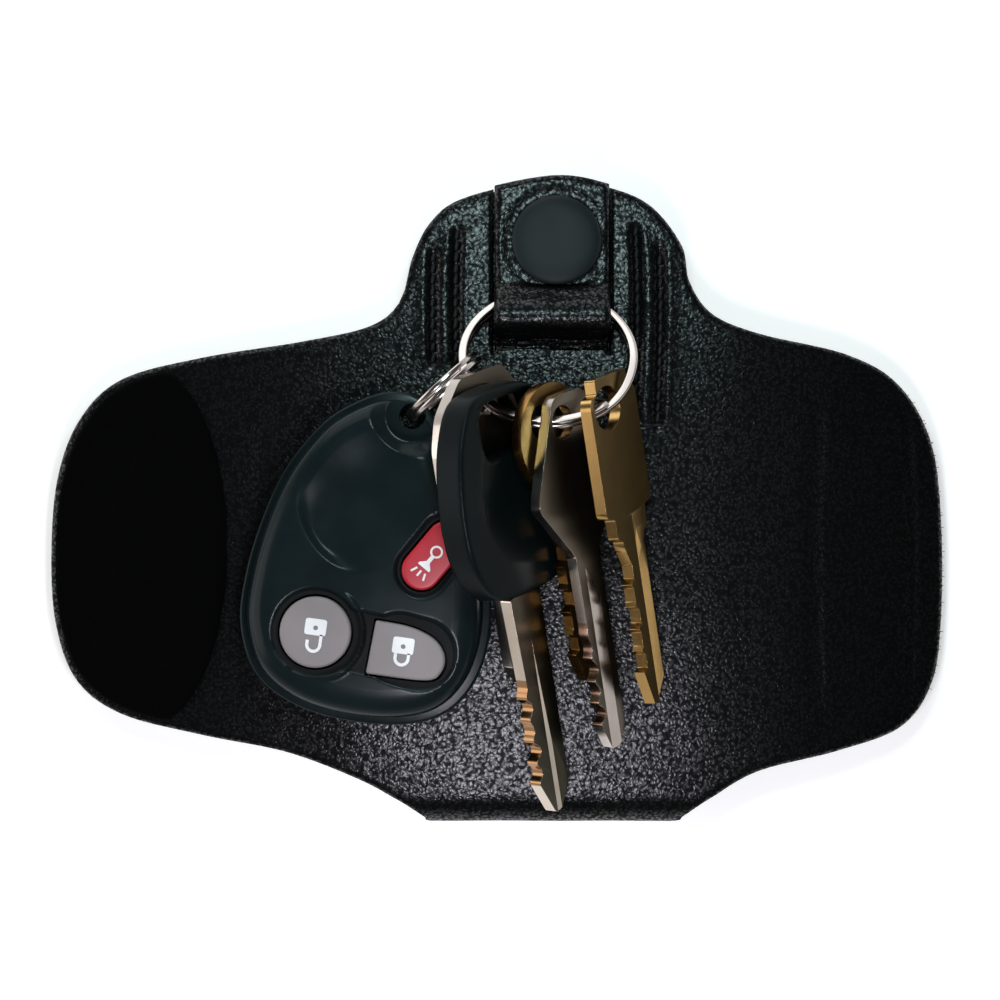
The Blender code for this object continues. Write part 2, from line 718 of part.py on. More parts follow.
# Car key: a steel blade moulded into a rubber head
car_key = dict(
    angle=math.radians(-30), thickness=2.3 * mm, offset=-3.8 * mm, shoulder=31.0 * mm,
    length=72.3 * mm, blade_width=8.4 * mm, tip_width=1.6 * mm, cut_side=-1,
    cut_depth=2.4 * mm,
    cut_shares=(0, 0, 0, 0.35, 0.6, 0.4, 0.8, 0.55), groove_width=1.7 * mm,
    groove_depth=0.5 * mm, edge=0.35 * mm)
car_head_width = 30.0 * mm
car_head_top = 5.6 * mm
car_head_thickness = 6.0 * mm
car_head_edge = 1.7 * mm
car_slot_width = 15.4 * mm
car_slot_height = 10.0 * mm
car_slot_x = -1.2 * mm
car_slot_y = -1.4 * mm
car_slot_corner_share = 0.35
car_tang_width = 6.0 * mm
car_tang_length = 13.0 * mm
car_head_shares = [(-0.20, -1.00), (-0.36, -0.93), (-0.47, -0.74), (-0.50, -0.52),
                   (-0.48, -0.28), (-0.42, -0.06), (-0.30, 0.70), (-0.14, 1.00),
                   (0.14, 1.00), (0.30, 0.70), (0.42, -0.06), (0.48, -0.28),
                   (0.50, -0.52), (0.47, -0.74), (0.36, -0.93), (0.20, -1.00)]


def box_cutter(name, size, place, frame):
    body = bmesh.new()
    bmesh.ops.create_cube(body, size=1)
    bmesh.ops.scale(body, verts=body.verts, vec=size)
    bmesh.ops.translate(body, verts=body.verts, vec=place)
    mesh = bpy.data.meshes.new(name)
    body.to_mesh(mesh)
    body.free()
    cutter = add(name, mesh, None, cutters)
    cutter.parent = frame
    return cutter


def build_car_key(frame):
    key = car_key
    head_line = smooth_run([(x * car_head_width + key["offset"],
                             y * (car_head_top if y > 0 else key["shoulder"]))
                            for x, y in car_head_shares], 3, closed=True)
    corner = car_slot_height * car_slot_corner_share
    across, along = car_slot_width / 2 - corner, car_slot_height / 2 - corner
    slot = []
    for sx, sy, start in ((1, 1, 0), (-1, 1, 90), (-1, -1, 180), (1, -1, 270)):
        slot += arc((car_slot_x + sx * across, car_slot_y + sy * along), corner, start, start + 90, 5)
    head = plate("car_key_head", head_line, car_head_thickness, key_rubber, [slot])
    head.parent = frame
    bevelled(head, car_head_edge, 2)
    pocket = (car_tang_width + 2 * fit_gap, car_tang_length + fit_gap + cut_overrun,
              key["thickness"] + 2 * fit_gap)
    middle = -key["shoulder"] + (car_tang_length + fit_gap - cut_overrun) / 2
    cut(head, box_cutter("tang_pocket", pocket, (key["offset"], middle, 0), frame))

    half = car_tang_width / 2 + key["offset"]
    low = -key["shoulder"] - 2 * fit_gap
    high = -key["shoulder"] + car_tang_length
    tang = [(key["offset"] - key["blade_width"] / 2, low), (-car_tang_width / 2 + key["offset"], low),
            (-car_tang_width / 2 + key["offset"], high), (half, high), (half, low)]
    lowered = dict(key, shoulder=key["shoulder"] + 2 * fit_gap)
    blade = plate("car_key_blade", tang + blade_outline(lowered), key["thickness"], key_steel)
    blade.parent = frame
    bevelled(blade, key["edge"], 1)
    for face in (1, -1):
        cut(blade, groove(f"car_groove_{'front' if face > 0 else 'back'}", key, frame, 0, face,
                          car_groove_length_share), "MANIFOLD")
    return head, blade


# Remote
remote_base = front_top + ground_clearance
remote_line = smooth_run(remote_outline_shares, 3, closed=True)


def remote_section(inset, height):
    wide, long = remote_width - 2 * inset, remote_length - 2 * inset
    return [(remote_x + x * wide, remote_y + y * long, remote_base + height) for x, y in remote_line]


def pillar(name, radius, centre, low, high, count=24):
    ring = circle(centre, radius, count)
    return loft(name, [[(x, y, low) for x, y in ring], [(x, y, high) for x, y in ring]], None, cutters)


rim_step = 1.5 * mm
base_round = 2.2 * mm
base_round_share = 0.3
parting_edge = 0.45 * mm
# inset in rim steps and height share of the upper shell's side, from its seat to its top
crown_shares = [(1.0, 0), (1.1, 0.50), (1.6, 0.74), (2.6, 0.92), (4.4, 1.0)]
cavity_share = 0.70
cavity_shift = (-2.4 * mm, -4.4 * mm)
cell_radius = 8.0 * mm
cell_height = 1.6 * mm
board_height = 1.0 * mm
board_share = 0.80


def inner_section(share, height):
    return [(remote_x + cavity_shift[0] + x * remote_width * share,
             remote_y + cavity_shift[1] + y * remote_length * share, remote_base + height)
            for x, y in remote_line]


def build_remote_shells():
    parting = remote_parting_height
    lower = loft("remote_lower_shell",
                 [remote_section(base_round, 0),
                  remote_section(base_round * base_round_share, base_round * base_round_share),
                  remote_section(0, base_round), remote_section(0, parting - parting_edge),
                  remote_section(parting_edge, parting)], dark_plastic)
    ledge = parting - board_height - 2 * fit_gap
    cell_floor = ledge - cell_height - 2 * fit_gap
    cut(lower, loft("cell_space", [inner_section(cavity_share * board_share, cell_floor),
                                   inner_section(cavity_share * board_share, ledge + fit_gap)],
                    None, cutters))
    cut(lower, loft("board_space", [inner_section(cavity_share, ledge),
                                    inner_section(cavity_share, parting + cut_overrun)],
                    None, cutters))
    seat = parting + fit_gap
    rise = remote_height - seat
    upper = loft("remote_upper_shell",
                 [remote_section(rim_step * inset, seat + rise * height)
                  for inset, height in crown_shares], dark_plastic)
    middle = remote_base + remote_height / 2
    lug_low, lug_high = middle - eyelet_lug_height / 2, middle + eyelet_lug_height / 2
    centre = (eyelet_x, eyelet_y)
    low, high = remote_base - cut_overrun, remote_base + remote_height + cut_overrun
    cut(lower, pillar("relief_below", eyelet_relief_radius, centre, low, lug_low))
    cut(upper, pillar("relief_above", eyelet_relief_radius, centre, lug_high, high))
    for shell in (lower, upper):
        cut(shell, pillar(f"bore_{shell.name}", eyelet_bore_radius, centre, low, high, 20))
    gap_share = fit_gap / (remote_width * cavity_share)
    board = loft("remote_circuit_board",
                 [inner_section(cavity_share - 2 * gap_share, ledge + fit_gap),
                  inner_section(cavity_share - 2 * gap_share, ledge + fit_gap + board_height)],
                 board_green)
    cell = turned("remote_cell",
                  [(0, remote_base + cell_floor + fit_gap + cell_height),
                   (cell_radius, remote_base + cell_floor + fit_gap + cell_height),
                   (cell_radius, remote_base + cell_floor + fit_gap), (0, remote_base + cell_floor + fit_gap)],
                  cell_steel, (remote_x + cavity_shift[0], remote_y + cavity_shift[1]), 28)
    return lower, upper, board, cell


def on_remote(x_share, y_share):
    return (remote_x + x_share * remote_width, remote_y + y_share * remote_length)


# Thumb dish and buttons of the remote
dish_centre = on_remote(0.0044, 0.2134)
dish_half_width = 0.275 * remote_width
dish_half_length = 0.259 * remote_length
dish_depth = 1.2 * mm
dish_depth_shares = (1.0, 0.75, 0.45, 0.2, 0.0)
dish_floor_share = 0.02
button_travel = 0.8 * mm
button_proud = 0.5 * mm
button_height = 2.2 * mm
button_edge = 0.35 * mm
unlock_centre = on_remote(-0.1885, -0.2151)
unlock_radius = 6.3 * mm
lock_centre = on_remote(0.1619, -0.2706)
lock_width = 0.3104 * remote_width
lock_length = 0.1866 * remote_length
lock_shares = [(-0.364, 0.490), (0.078, 0.377), (0.377, 0.180), (0.500, -0.080),
               (0.455, -0.344), (0.247, -0.470), (-0.494, -0.360)]
alarm_centre = on_remote(0.275, 0.0118)
alarm_radius = 3.5 * mm
alarm_half_run = 3.4 * mm
alarm_heading = math.radians(50)
pocket_gap = 0.4 * mm


def build_dish(shell):
    top = remote_base + remote_height
    sections = []
    for depth in dish_depth_shares:
        share = math.sqrt(max(dish_floor_share, 1 - depth))
        sections.append((share, top - dish_depth * depth))
    sections.append((1.0 + cut_overrun / dish_half_width, top + cut_overrun))
    rings = [[(dish_centre[0] + share * dish_half_width * math.cos(a),
               dish_centre[1] + share * dish_half_length * math.sin(a), z)
              for a in np.linspace(0, 2 * math.pi, 32, endpoint=False)] for share, z in sections]
    cut(shell, loft("thumb_dish", rings, None, cutters))


def capsule(centre, radius, half_run, heading):
    along = Vector((math.cos(heading), math.sin(heading)))
    turn = math.degrees(heading)
    head = Vector(centre) + along * half_run
    tail = Vector(centre) - along * half_run
    return arc(head, radius, turn - 90, turn + 90, 11) + arc(tail, radius, turn + 90, turn + 270, 11)


def lock_outline(grow):
    wide, long = lock_width + 2 * grow, lock_length + 2 * grow
    run = smooth_run([(x * wide, y * long) for x, y in lock_shares], 4)
    return [(lock_centre[0] + x, lock_centre[1] + y) for x, y in run]


def build_buttons(shell):
    floor = button_height + button_travel + fit_gap - button_proud
    top = remote_base + remote_height
    made = []
    for name, outline_at, finish in (
            ("unlock_button", lambda grow: circle(unlock_centre, unlock_radius + grow, 32), grey_rubber),
            ("lock_button", lock_outline, grey_rubber),
            ("alarm_button", lambda grow: capsule(alarm_centre, alarm_radius + grow, alarm_half_run,
                                                  alarm_heading), red_rubber)):
        pocket = plate(f"{name}_pocket", outline_at(pocket_gap), floor + cut_overrun, None,
                       collection=cutters)
        pocket.location.z = top - floor + (floor + cut_overrun) / 2
        cut(shell, pocket)
        button = plate(name, outline_at(0), button_height, finish)
        button.location.z = top + button_proud - button_height / 2
        made.append(bevelled(button, button_edge, 1))
    return made


def wing_frame(name, x, parent, parent_matrix):
    matrix = Matrix.Translation((x, 0, front_top - droop(x)))
    return frame_at(name, matrix, parent, parent_matrix), matrix


def build_wings():
    for side, fold, height, tip in (("left", left_fold_x, left_side_height, left_edge_x),
                                    ("right", right_fold_x, right_side_height, right_edge_x)):
        out = 1 if side == "right" else -1
        second = fold + out * height
        side_frame, side_matrix = wing_frame(f"{side}_side_hinge", fold, None, None)
        flap_frame, flap_matrix = wing_frame(f"{side}_flap_hinge", second, side_frame, side_matrix)
        strip = wing_piece(f"{side}_side_strip", fold + out * fit_gap / 2, second - out * fit_gap / 2)
        flap = wing_piece(f"{side}_flap", second + out * fit_gap / 2, tip)
        pieces = [(strip, side_frame, side_matrix), (flap, flap_frame, flap_matrix)]
        end = tip - out * patch_margin
        if side == "left":
            height_of = front_top + fit_gap + patch_thickness / 2

            def edge(x):
                # the patch's rounded edge, an ellipse about the fold between strip and flap
                middle = (upper_y(second) + lower_y(second)) / 2
                half = (upper_y(second) - lower_y(second)) / 2
                t = (x - second) / (loop_patch_edge_x + fit_gap - second)
                return middle, half * math.sqrt(max(0.0, 1 - max(0.0, t) ** 2 * loop_patch_round_share))

            near = patch("loop_patch_side", second + patch_fold_margin,
                         fold - patch_fold_margin, height_of, loop_pile, edge)
            far = patch("loop_patch_flap", second - patch_fold_margin, end, height_of, loop_pile)
        else:
            height_of = front_top - leather_thickness - fit_gap - patch_thickness / 2
            near = patch("hook_patch_side", second - fit_gap, hook_patch_edge_x, height_of, hook_tape)
            far = patch("hook_patch_flap", second + fit_gap, end, height_of, hook_tape)
        pieces += [(near, side_frame, side_matrix), (far, flap_frame, flap_matrix)]
        for piece, frame, matrix in pieces:
            carry(piece, frame, matrix)


def build_ring_group():
    frame = frame_at("ring_hinge", ring_hinge)
    ring = coil("key_ring", ring_radius, ring_wire_width, ring_wire_height, ring_coil_gap, nickel,
                ring_seam_angle, ring_matrix)
    carry(ring, frame, ring_hinge)

    matrices = {}
    for name, key, lean in (("nickel_key_left", nickel_left, stack_lean),
                            ("brass_key_back", brass_back, stack_lean),
                            ("nickel_key_right", nickel_right, stack_lean),
                            ("brass_key_front", brass_front, front_lean),
                            ("car_key", car_key, stack_lean)):
        slope = brass_front_slope if name == "brass_key_front" else key_slope
        matrix = key_matrix(key["angle"], slope, lean)
        matrices[name] = frame_at(f"{name}_swing", matrix, frame, ring_hinge), matrix
    build_key("nickel_key_left", nickel_left, bow_points(nickel_left, nickel_left_bow_shares),
              matrices["nickel_key_left"][0], key_nickel)
    build_key("brass_key_back", brass_back, round_bow(brass_back), matrices["brass_key_back"][0], brass)
    build_key("nickel_key_right", nickel_right, bow_points(nickel_right, nickel_right_bow_shares),
              matrices["nickel_key_right"][0], key_nickel)
    build_key("brass_key_front", brass_front, bow_points(brass_front, brass_front_bow_shares),
              matrices["brass_key_front"][0], brass)
    build_car_key(matrices["car_key"][0])

    eyelet_height = remote_base + remote_height / 2
    swing = Matrix.Translation((eyelet_x, eyelet_y, eyelet_height))
    remote_frame = frame_at("remote_swing", swing, frame, ring_hinge)
    pieces = list(build_remote_shells())
    build_dish(pieces[1])
    pieces += build_buttons(pieces[1])
    for piece in pieces:
        carry(piece, remote_frame, swing)

    link = on_ring(small_ring_link_angle)
    reach = Vector((link.x - eyelet_x, link.y - eyelet_y, 0)).normalized()
    across = Vector((0, 0, 1)).cross(reach)
    ahead = reach * math.cos(small_ring_rise) + Vector((0, 0, 1)) * math.sin(small_ring_rise)
    upward = ahead.cross(across)
    centre = swing.translation + ahead * small_ring_radius
    turn = Matrix((ahead, -upward, across)).transposed().to_4x4()
    small = Matrix.Translation(centre) @ turn
    small_frame = frame_at("remote_ring_spin", small, frame, ring_hinge)
    small_ring = coil("remote_ring", small_ring_radius, small_wire_width, small_wire_height,
                      ring_coil_gap, nickel, small_ring_seam_angle, small, 32)
    carry(small_ring, small_frame, small)


build_body()
tongue = build_tongue()
tongue_hinge = Matrix.Translation((0, tongue_root_y, front_top))
tongue_frame = frame_at("tongue_hinge", tongue_hinge)
carry(tongue, tongue_frame, tongue_hinge)
snap_cap, snap_socket, snap_stud, snap_post = build_snap()
for piece in (snap_cap, snap_socket):
    carry(piece, tongue_frame, tongue_hinge)
build_wings()
build_ring_group()
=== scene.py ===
# Looks of an open leather key holder with its keys and remote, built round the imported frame
import math

import bmesh
import bpy
import numpy as np
from mathutils import Matrix, Vector


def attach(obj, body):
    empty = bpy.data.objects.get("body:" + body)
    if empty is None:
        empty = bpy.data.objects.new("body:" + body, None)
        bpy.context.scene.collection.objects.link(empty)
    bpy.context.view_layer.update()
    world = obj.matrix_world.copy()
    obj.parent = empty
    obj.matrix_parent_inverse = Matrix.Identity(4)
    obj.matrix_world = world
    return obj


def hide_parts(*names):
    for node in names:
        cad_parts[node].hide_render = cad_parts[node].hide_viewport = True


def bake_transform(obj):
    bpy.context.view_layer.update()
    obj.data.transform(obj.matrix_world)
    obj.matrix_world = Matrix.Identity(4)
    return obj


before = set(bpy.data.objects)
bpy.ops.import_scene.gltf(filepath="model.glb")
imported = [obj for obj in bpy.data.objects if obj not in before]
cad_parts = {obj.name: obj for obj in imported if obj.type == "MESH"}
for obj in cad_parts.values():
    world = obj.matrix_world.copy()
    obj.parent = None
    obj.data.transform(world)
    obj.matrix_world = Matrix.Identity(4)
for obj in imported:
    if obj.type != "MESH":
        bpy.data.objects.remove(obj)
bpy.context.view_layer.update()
mm = 0.001

# Sizes that the solids were built from, repeated here in metres
holder = dict(
    width=164.4 * mm, length=117.5 * mm, thick=2.4 * mm, frontMid=8.6 * mm, strapMid=1.2 * mm,
    backMid=5.9 * mm, droop=5.0 * mm, leftDroop=-20.06 * mm, rightDroop=36.0 * mm,
    strapLeft=-13.1 * mm, strapRight=33.6 * mm, opening=66.0 * mm, ramp=9.0 * mm,
    leftFold=-47.5 * mm, leftSide=16.0 * mm, rightFold=34.7 * mm, rightSide=27.0 * mm,
    slitLeft=-0.6 * mm, slitRight=20.4 * mm, slitTop=60.0 * mm, rootY=27.4 * mm,
    bodyLeft=-42.0 * mm, leftMiddle=-55.5 * mm, rightMiddle=48.2 * mm,  # where the leather's pieces join
    foldHalf=1.7 * mm, rightFoldHalf=1.1 * mm, edgeRound=1.1 * mm, pitch=1.1 * mm)
outlineShares = [
    (-0.080, -0.498), (-0.118, -0.458), (-0.163, -0.426), (-0.236, -0.389),
    (-0.329, -0.364), (-0.419, -0.333), (-0.470, -0.282), (-0.494, -0.198),
    (-0.500, -0.091), (-0.493, 0.034), (-0.467, 0.128), (-0.419, 0.190),
    (-0.329, 0.223), (-0.215, 0.248), (-0.140, 0.272), (-0.107, 0.311),
    (-0.096, 0.370), (-0.074, 0.432), (-0.035, 0.471), (0.061, 0.500),
    (0.125, 0.486), (0.171, 0.457), (0.205, 0.396), (0.213, 0.342),
    (0.238, 0.291), (0.291, 0.260), (0.390, 0.228), (0.449, 0.181),
    (0.486, 0.093), (0.498, -0.029), (0.498, -0.184), (0.487, -0.285),
    (0.451, -0.353), (0.379, -0.389), (0.293, -0.418), (0.244, -0.455),
    (0.205, -0.498)]
holder["foldRadius"] = (holder["frontMid"] - holder["strapMid"]) / 2
holder["foldStart"] = -holder["length"] / 2 + holder["foldRadius"] + holder["thick"] / 2
holder["foldFoot"] = holder["foldStart"] - holder["foldRadius"] * math.pi / 2  # halfway round the fold
holder["foldBack"] = holder["foldStart"] - holder["foldRadius"] * math.pi  # where the strap behind begins
holder["folds"] = [holder["leftFold"], holder["leftFold"] - holder["leftSide"],
                   holder["rightFold"], holder["rightFold"] + holder["rightSide"]]


# Curves and grids
def smoothRun(points, steps, closed=False):
    # Catmull-Rom: each stretch is the cubic through its two points with slopes from their neighbours
    points = np.array(points, float)
    if closed:
        ends = np.vstack([points[-1:], points, points[:2]])
    else:
        ends = np.vstack([2 * points[:1] - points[1:2], points, 2 * points[-1:] - points[-2:-1]])
    a, b, c, d = ends[:-3, None], ends[1:-2, None], ends[2:-1, None], ends[3:, None]
    t = np.linspace(0, 1, steps, endpoint=False)[None, :, None]
    run = 0.5 * (2 * b + (c - a) * t + (2 * a - 5 * b + 4 * c - d) * t ** 2
                 + (3 * b - a - 3 * c + d) * t ** 3)
    run = run.reshape(-1, points.shape[1])
    return run if closed else np.vstack([run, points[-1:]])


def smoothStep(t):
    t = np.clip(t, 0, 1)
    return t * t * (3 - 2 * t)


def bump(distance, width):
    # e to the minus square of the distance over the width: 1 on a line, and fading to both sides
    return np.exp(-(distance / width) ** 2)


def gridFaces(rows, columns, first, wrapRows, wrapColumns):
    # quads of a grid of points numbered row by row
    i = np.arange(rows if wrapRows else rows - 1)[:, None]
    j = np.arange(columns if wrapColumns else columns - 1)[None, :]
    i2, j2 = (i + 1) % rows, (j + 1) % columns
    quads = np.stack([i * columns + j, i * columns + j2, i2 * columns + j2, i2 * columns + j], -1)
    return quads.reshape(-1, 4) + first


def capped(rings):
    # rings of points closed by their middles at both ends, as one block
    rings = np.array(rings)
    caps = [np.repeat(rings[k].mean(0)[None, None], rings.shape[1], 1) for k in (0, -1)]
    return np.concatenate([caps[0], rings, caps[1]]), False, True


def sideWalls(face, flesh):
    # the two strips that join a face to its other side
    return [np.stack([face[:, k], flesh[:, k]], 1) for k in (0, -1)]


def rimShare(distance, rim):
    # an ellipse's quarter: 0 on an edge, 1 from a rim's width inwards
    return np.sqrt(np.clip(1 - (1 - np.clip(distance / rim, 0, 1)) ** 2, 0, 1))


def addObject(name, data):
    made = bpy.data.objects.new(name, data)
    bpy.context.scene.collection.objects.link(made)
    return made


def makePiece(name, blocks, finish, sharp=40, weld=0.002 * mm, close=False):
    # blocks are (points of shape rows, columns, 3; wrapRows; wrapColumns), merged where they meet
    points, faces, first = [], [], 0
    for block in blocks:
        grid, wrapRows, wrapColumns = block if isinstance(block, tuple) else (block, False, False)
        rows, columns = grid.shape[:2]
        points.append(grid.reshape(-1, 3))
        faces.append(gridFaces(rows, columns, first, wrapRows, wrapColumns))
        first += rows * columns
    mesh = bpy.data.meshes.new(name)
    mesh.from_pydata(np.vstack(points).tolist(), [], np.vstack(faces).tolist())
    body = bmesh.new()
    body.from_mesh(mesh)
    bmesh.ops.remove_doubles(body, verts=body.verts, dist=weld)
    bmesh.ops.dissolve_degenerate(body, edges=body.edges, dist=weld)
    if close:
        made = bmesh.ops.holes_fill(body, edges=[edge for edge in body.edges if edge.is_boundary], sides=0)
        bmesh.ops.triangulate(body, faces=made["faces"])
    bmesh.ops.recalc_face_normals(body, faces=body.faces)
    body.to_mesh(mesh)
    body.free()
    mesh.shade_smooth()
    mesh.set_sharp_from_angle(angle=math.radians(sharp))
    mesh.materials.append(finish)
    return addObject(name, mesh)


def loftPiece(name, rings, finish, sharp=40):
    return makePiece(name, [capped(rings)], finish, sharp)


def applied(piece):
    # the piece with its modifiers made real, its object at the origin
    bpy.context.view_layer.update()
    evaluated = piece.evaluated_get(bpy.context.evaluated_depsgraph_get())
    mesh = bpy.data.meshes.new_from_object(evaluated)
    mesh.transform(piece.matrix_world)
    piece.modifiers.clear()
    old = piece.data
    if piece.type == "MESH":
        piece.data = mesh
        piece.matrix_world = Matrix.Identity(4)
        bpy.data.meshes.remove(old)
        return piece
    name = piece.name
    bpy.data.objects.remove(piece, do_unlink=True)
    return addObject(name, mesh)


def carve(piece, cutters, solver="EXACT"):
    # cuts the cutters out of the piece and removes them
    for cutter in cutters:
        knife = piece.modifiers.new("cut", "BOOLEAN")
        knife.operation, knife.solver, knife.object = "DIFFERENCE", solver, cutter
    piece = applied(piece)
    for cutter in cutters:
        bpy.data.objects.remove(cutter, do_unlink=True)
    return piece


def settle(piece, finish, body, slot, replaced=(), sharp=None):
    # gives a finished piece its material and the one body that it hangs from, and hides the nodes that it
    # stands for; a piece given two bodies is only baked in place, and slot is not used
    piece.data.materials.clear()
    piece.data.materials.append(finish)
    if sharp:
        piece.data.shade_smooth()
        piece.data.set_sharp_from_angle(angle=math.radians(sharp))
    if isinstance(body, str):
        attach(piece, body)
    else:
        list(body)
        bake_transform(piece)
    if replaced:
        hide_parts(*replaced)
    return piece


def markUp(piece, name, domain, values):
    # numbers on a piece's faces or points, which its material reads by name
    marks = piece.data.attributes.new(name, "FLOAT", domain)
    marks.data.foreach_set("value", values)


# Materials
def setSockets(tree, node, sockets):
    # a socket is linked, and a value is written, a colour with its alpha
    for key, value in sockets.items():
        socket = node.inputs[key]
        if isinstance(value, bpy.types.NodeSocket):
            tree.links.new(value, socket)
        else:
            socket.default_value = (*value, 1) if socket.type == "RGBA" else value


def addNode(tree, kind, sockets=None, **settings):
    made = tree.nodes.new(kind)
    for key, value in settings.items():
        setattr(made, key, value)
    setSockets(tree, made, sockets or {})
    return made


def addRamp(tree, value, stops):
    made = addNode(tree, "ShaderNodeValToRGB", {"Fac": value})
    while len(made.color_ramp.elements) < len(stops):
        made.color_ramp.elements.new(0.5)
    for element, (place, colour) in zip(made.color_ramp.elements, stops):
        element.position = place
        element.color = (*colour, 1) if isinstance(colour, tuple) else (colour, colour, colour, 1)
    return made.outputs["Color"]


def addMath(tree, operation, a, b):
    return addNode(tree, "ShaderNodeMath", {0: a, 1: b}, operation=operation).outputs[0]


def addNoise(tree, place, scale, detail, **more):
    sockets = {"Vector": place, "Scale": scale, "Detail": detail, **more}
    return addNode(tree, "ShaderNodeTexNoise", sockets).outputs


def addCells(tree, place, scale, smoothness):
    # the distance from the nearest cell's middle, with soft borders
    return addNode(tree, "ShaderNodeTexVoronoi", {"Vector": place, "Scale": scale, "Smoothness": smoothness},
                   feature="SMOOTH_F1").outputs["Distance"]


def readMarks(tree, name):
    return addNode(tree, "ShaderNodeAttribute", attribute_name=name).outputs["Fac"]


def newGroup(name, inputs, outputs):
    # a group of numbers in and masks out; its nodes work from the object's own coordinates
    tree = bpy.data.node_groups.new(name, "ShaderNodeTree")
    for label, value in inputs.items():
        tree.interface.new_socket(label, in_out="INPUT", socket_type="NodeSocketFloat").default_value = value
    for label in outputs:
        tree.interface.new_socket(label, in_out="OUTPUT", socket_type="NodeSocketFloat")
    place = addNode(tree, "ShaderNodeTexCoord").outputs["Object"]
    return tree, place, tree.nodes.new("NodeGroupInput").outputs, tree.nodes.new("NodeGroupOutput")


def grainGroup():
    # pebbles of two sizes with creases between them, over slow hills
    tree, place, given, out = newGroup("leatherGrain", {"Size": 1.0, "Creases": 0.9}, ("Height", "Tone"))
    frequency = addMath(tree, "DIVIDE", 1000.0, given["Size"])
    shake = addNoise(tree, place, 520.0, 2.0)["Color"]
    shaken = addNode(tree, "ShaderNodeVectorMath", {0: shake, 1: (0.0016, 0.0016, 0.0016), 2: place},
                     operation="MULTIPLY_ADD").outputs[0]
    pebble = addCells(tree, shaken, frequency, 0.6)
    fine = addCells(tree, shaken, addMath(tree, "MULTIPLY", frequency, 2.3), 0.5)
    wrinkle = addNoise(tree, shaken, addMath(tree, "MULTIPLY", frequency, 1.1), 1.0, Roughness=0.4)["Fac"]
    hills = addNoise(tree, place, 160.0, 3.0)["Fac"]
    height = addMath(tree, "MULTIPLY", hills, 1.1)
    for operation, layer, weight in (("SUBTRACT", pebble, 0.9), ("SUBTRACT", fine, 0.30),
                                     ("ADD", wrinkle, given["Creases"])):
        height = addMath(tree, operation, height, addMath(tree, "MULTIPLY", layer, weight))
    setSockets(tree, out, {"Height": height, "Tone": addMath(tree, "SUBTRACT", 1.0, pebble)})
    return tree


def scratchGroup():
    # long fine lines in two directions and soft blotches, for handled metal
    tree, place, given, out = newGroup("handledMetal", {"Lines": 0.5, "Blotch": 0.5}, ("Wear", "Patch"))
    masks = []
    for turn, stretch in ((0.5, (2600, 140, 800)), (-0.9, (180, 2200, 900))):
        mapped = addNode(tree, "ShaderNodeMapping", {"Vector": place, "Rotation": (0.2, 0.4, turn),
                                                     "Scale": stretch})
        streak = addNoise(tree, mapped.outputs[0], 1.0, 4.0)["Fac"]
        masks.append(addRamp(tree, streak, [(0.56, 0.0), (0.72, 1.0)]))
    blotch = addNoise(tree, place, 260.0, 5.0, Roughness=0.65)["Fac"]
    patch = addRamp(tree, blotch, [(0.38, 0.0), (0.66, 1.0)])
    streaks = addMath(tree, "MAXIMUM", *masks)
    setSockets(tree, out, {"Wear": addMath(tree, "MULTIPLY", streaks, given["Lines"]),
                           "Patch": addMath(tree, "MULTIPLY", patch, given["Blotch"])})
    return tree


def speckleGroup():
    # spark-eroded mould texture: shallow grains of a size in millimetres, and slow clouds
    tree, place, given, out = newGroup("mouldTexture", {"Size": 0.25}, ("Height", "Cloud"))
    grain = addNoise(tree, place, addMath(tree, "DIVIDE", 1000.0, given["Size"]), 2.0)["Fac"]
    setSockets(tree, out, {"Height": grain, "Cloud": addNoise(tree, place, 90.0, 4.0)["Fac"]})
    return tree


leatherGrain = grainGroup()
handledMetal = scratchGroup()
mouldTexture = speckleGroup()


def useGroup(tree, group, values):
    return addNode(tree, "ShaderNodeGroup", values, node_tree=group).outputs


def startMaterial(name, sockets):
    made = bpy.data.materials.new(name)
    made.use_nodes = True
    shader = made.node_tree.nodes["Principled BSDF"]
    setSockets(made.node_tree, shader, sockets)
    made.diffuse_color = (*sockets["Base Color"], 1)
    return made, made.node_tree, shader


def mixColour(tree, mask, low, high):
    # sockets 6 and 7 are the mix node's two colours
    return addNode(tree, "ShaderNodeMix", {0: mask, 6: low, 7: high}, data_type="RGBA").outputs[2]


def addBump(tree, height, strength, distance):
    relief = addNode(tree, "ShaderNodeBump", {"Height": height, "Strength": strength, "Distance": distance})
    return relief.outputs["Normal"]


def makeLeather(name, dark, light, size, depth):
    # matt creases, and a finish that shines on top of each pebble
    made, tree, shader = startMaterial(name, {"Base Color": dark, "Roughness": 0.5, "Coat IOR": 1.5,
                                              "Specular IOR Level": 0.06, "Coat Roughness": 0.25})
    grain = useGroup(tree, leatherGrain, {"Size": size})
    tone = grain["Tone"]
    relief = addBump(tree, grain["Height"], 1.0, depth)
    setSockets(tree, shader, {
        "Base Color": mixColour(tree, addRamp(tree, tone, [(0.45, 0.0), (0.9, 1.0)]), dark, light),
        "Roughness": addRamp(tree, tone, [(0.3, 0.62), (0.85, 0.42)]),
        "Coat Weight": addRamp(tree, tone, [(0.36, 0.04), (0.58, 0.42), (0.80, 1.0)]),
        "Normal": relief, "Coat Normal": relief})
    return made


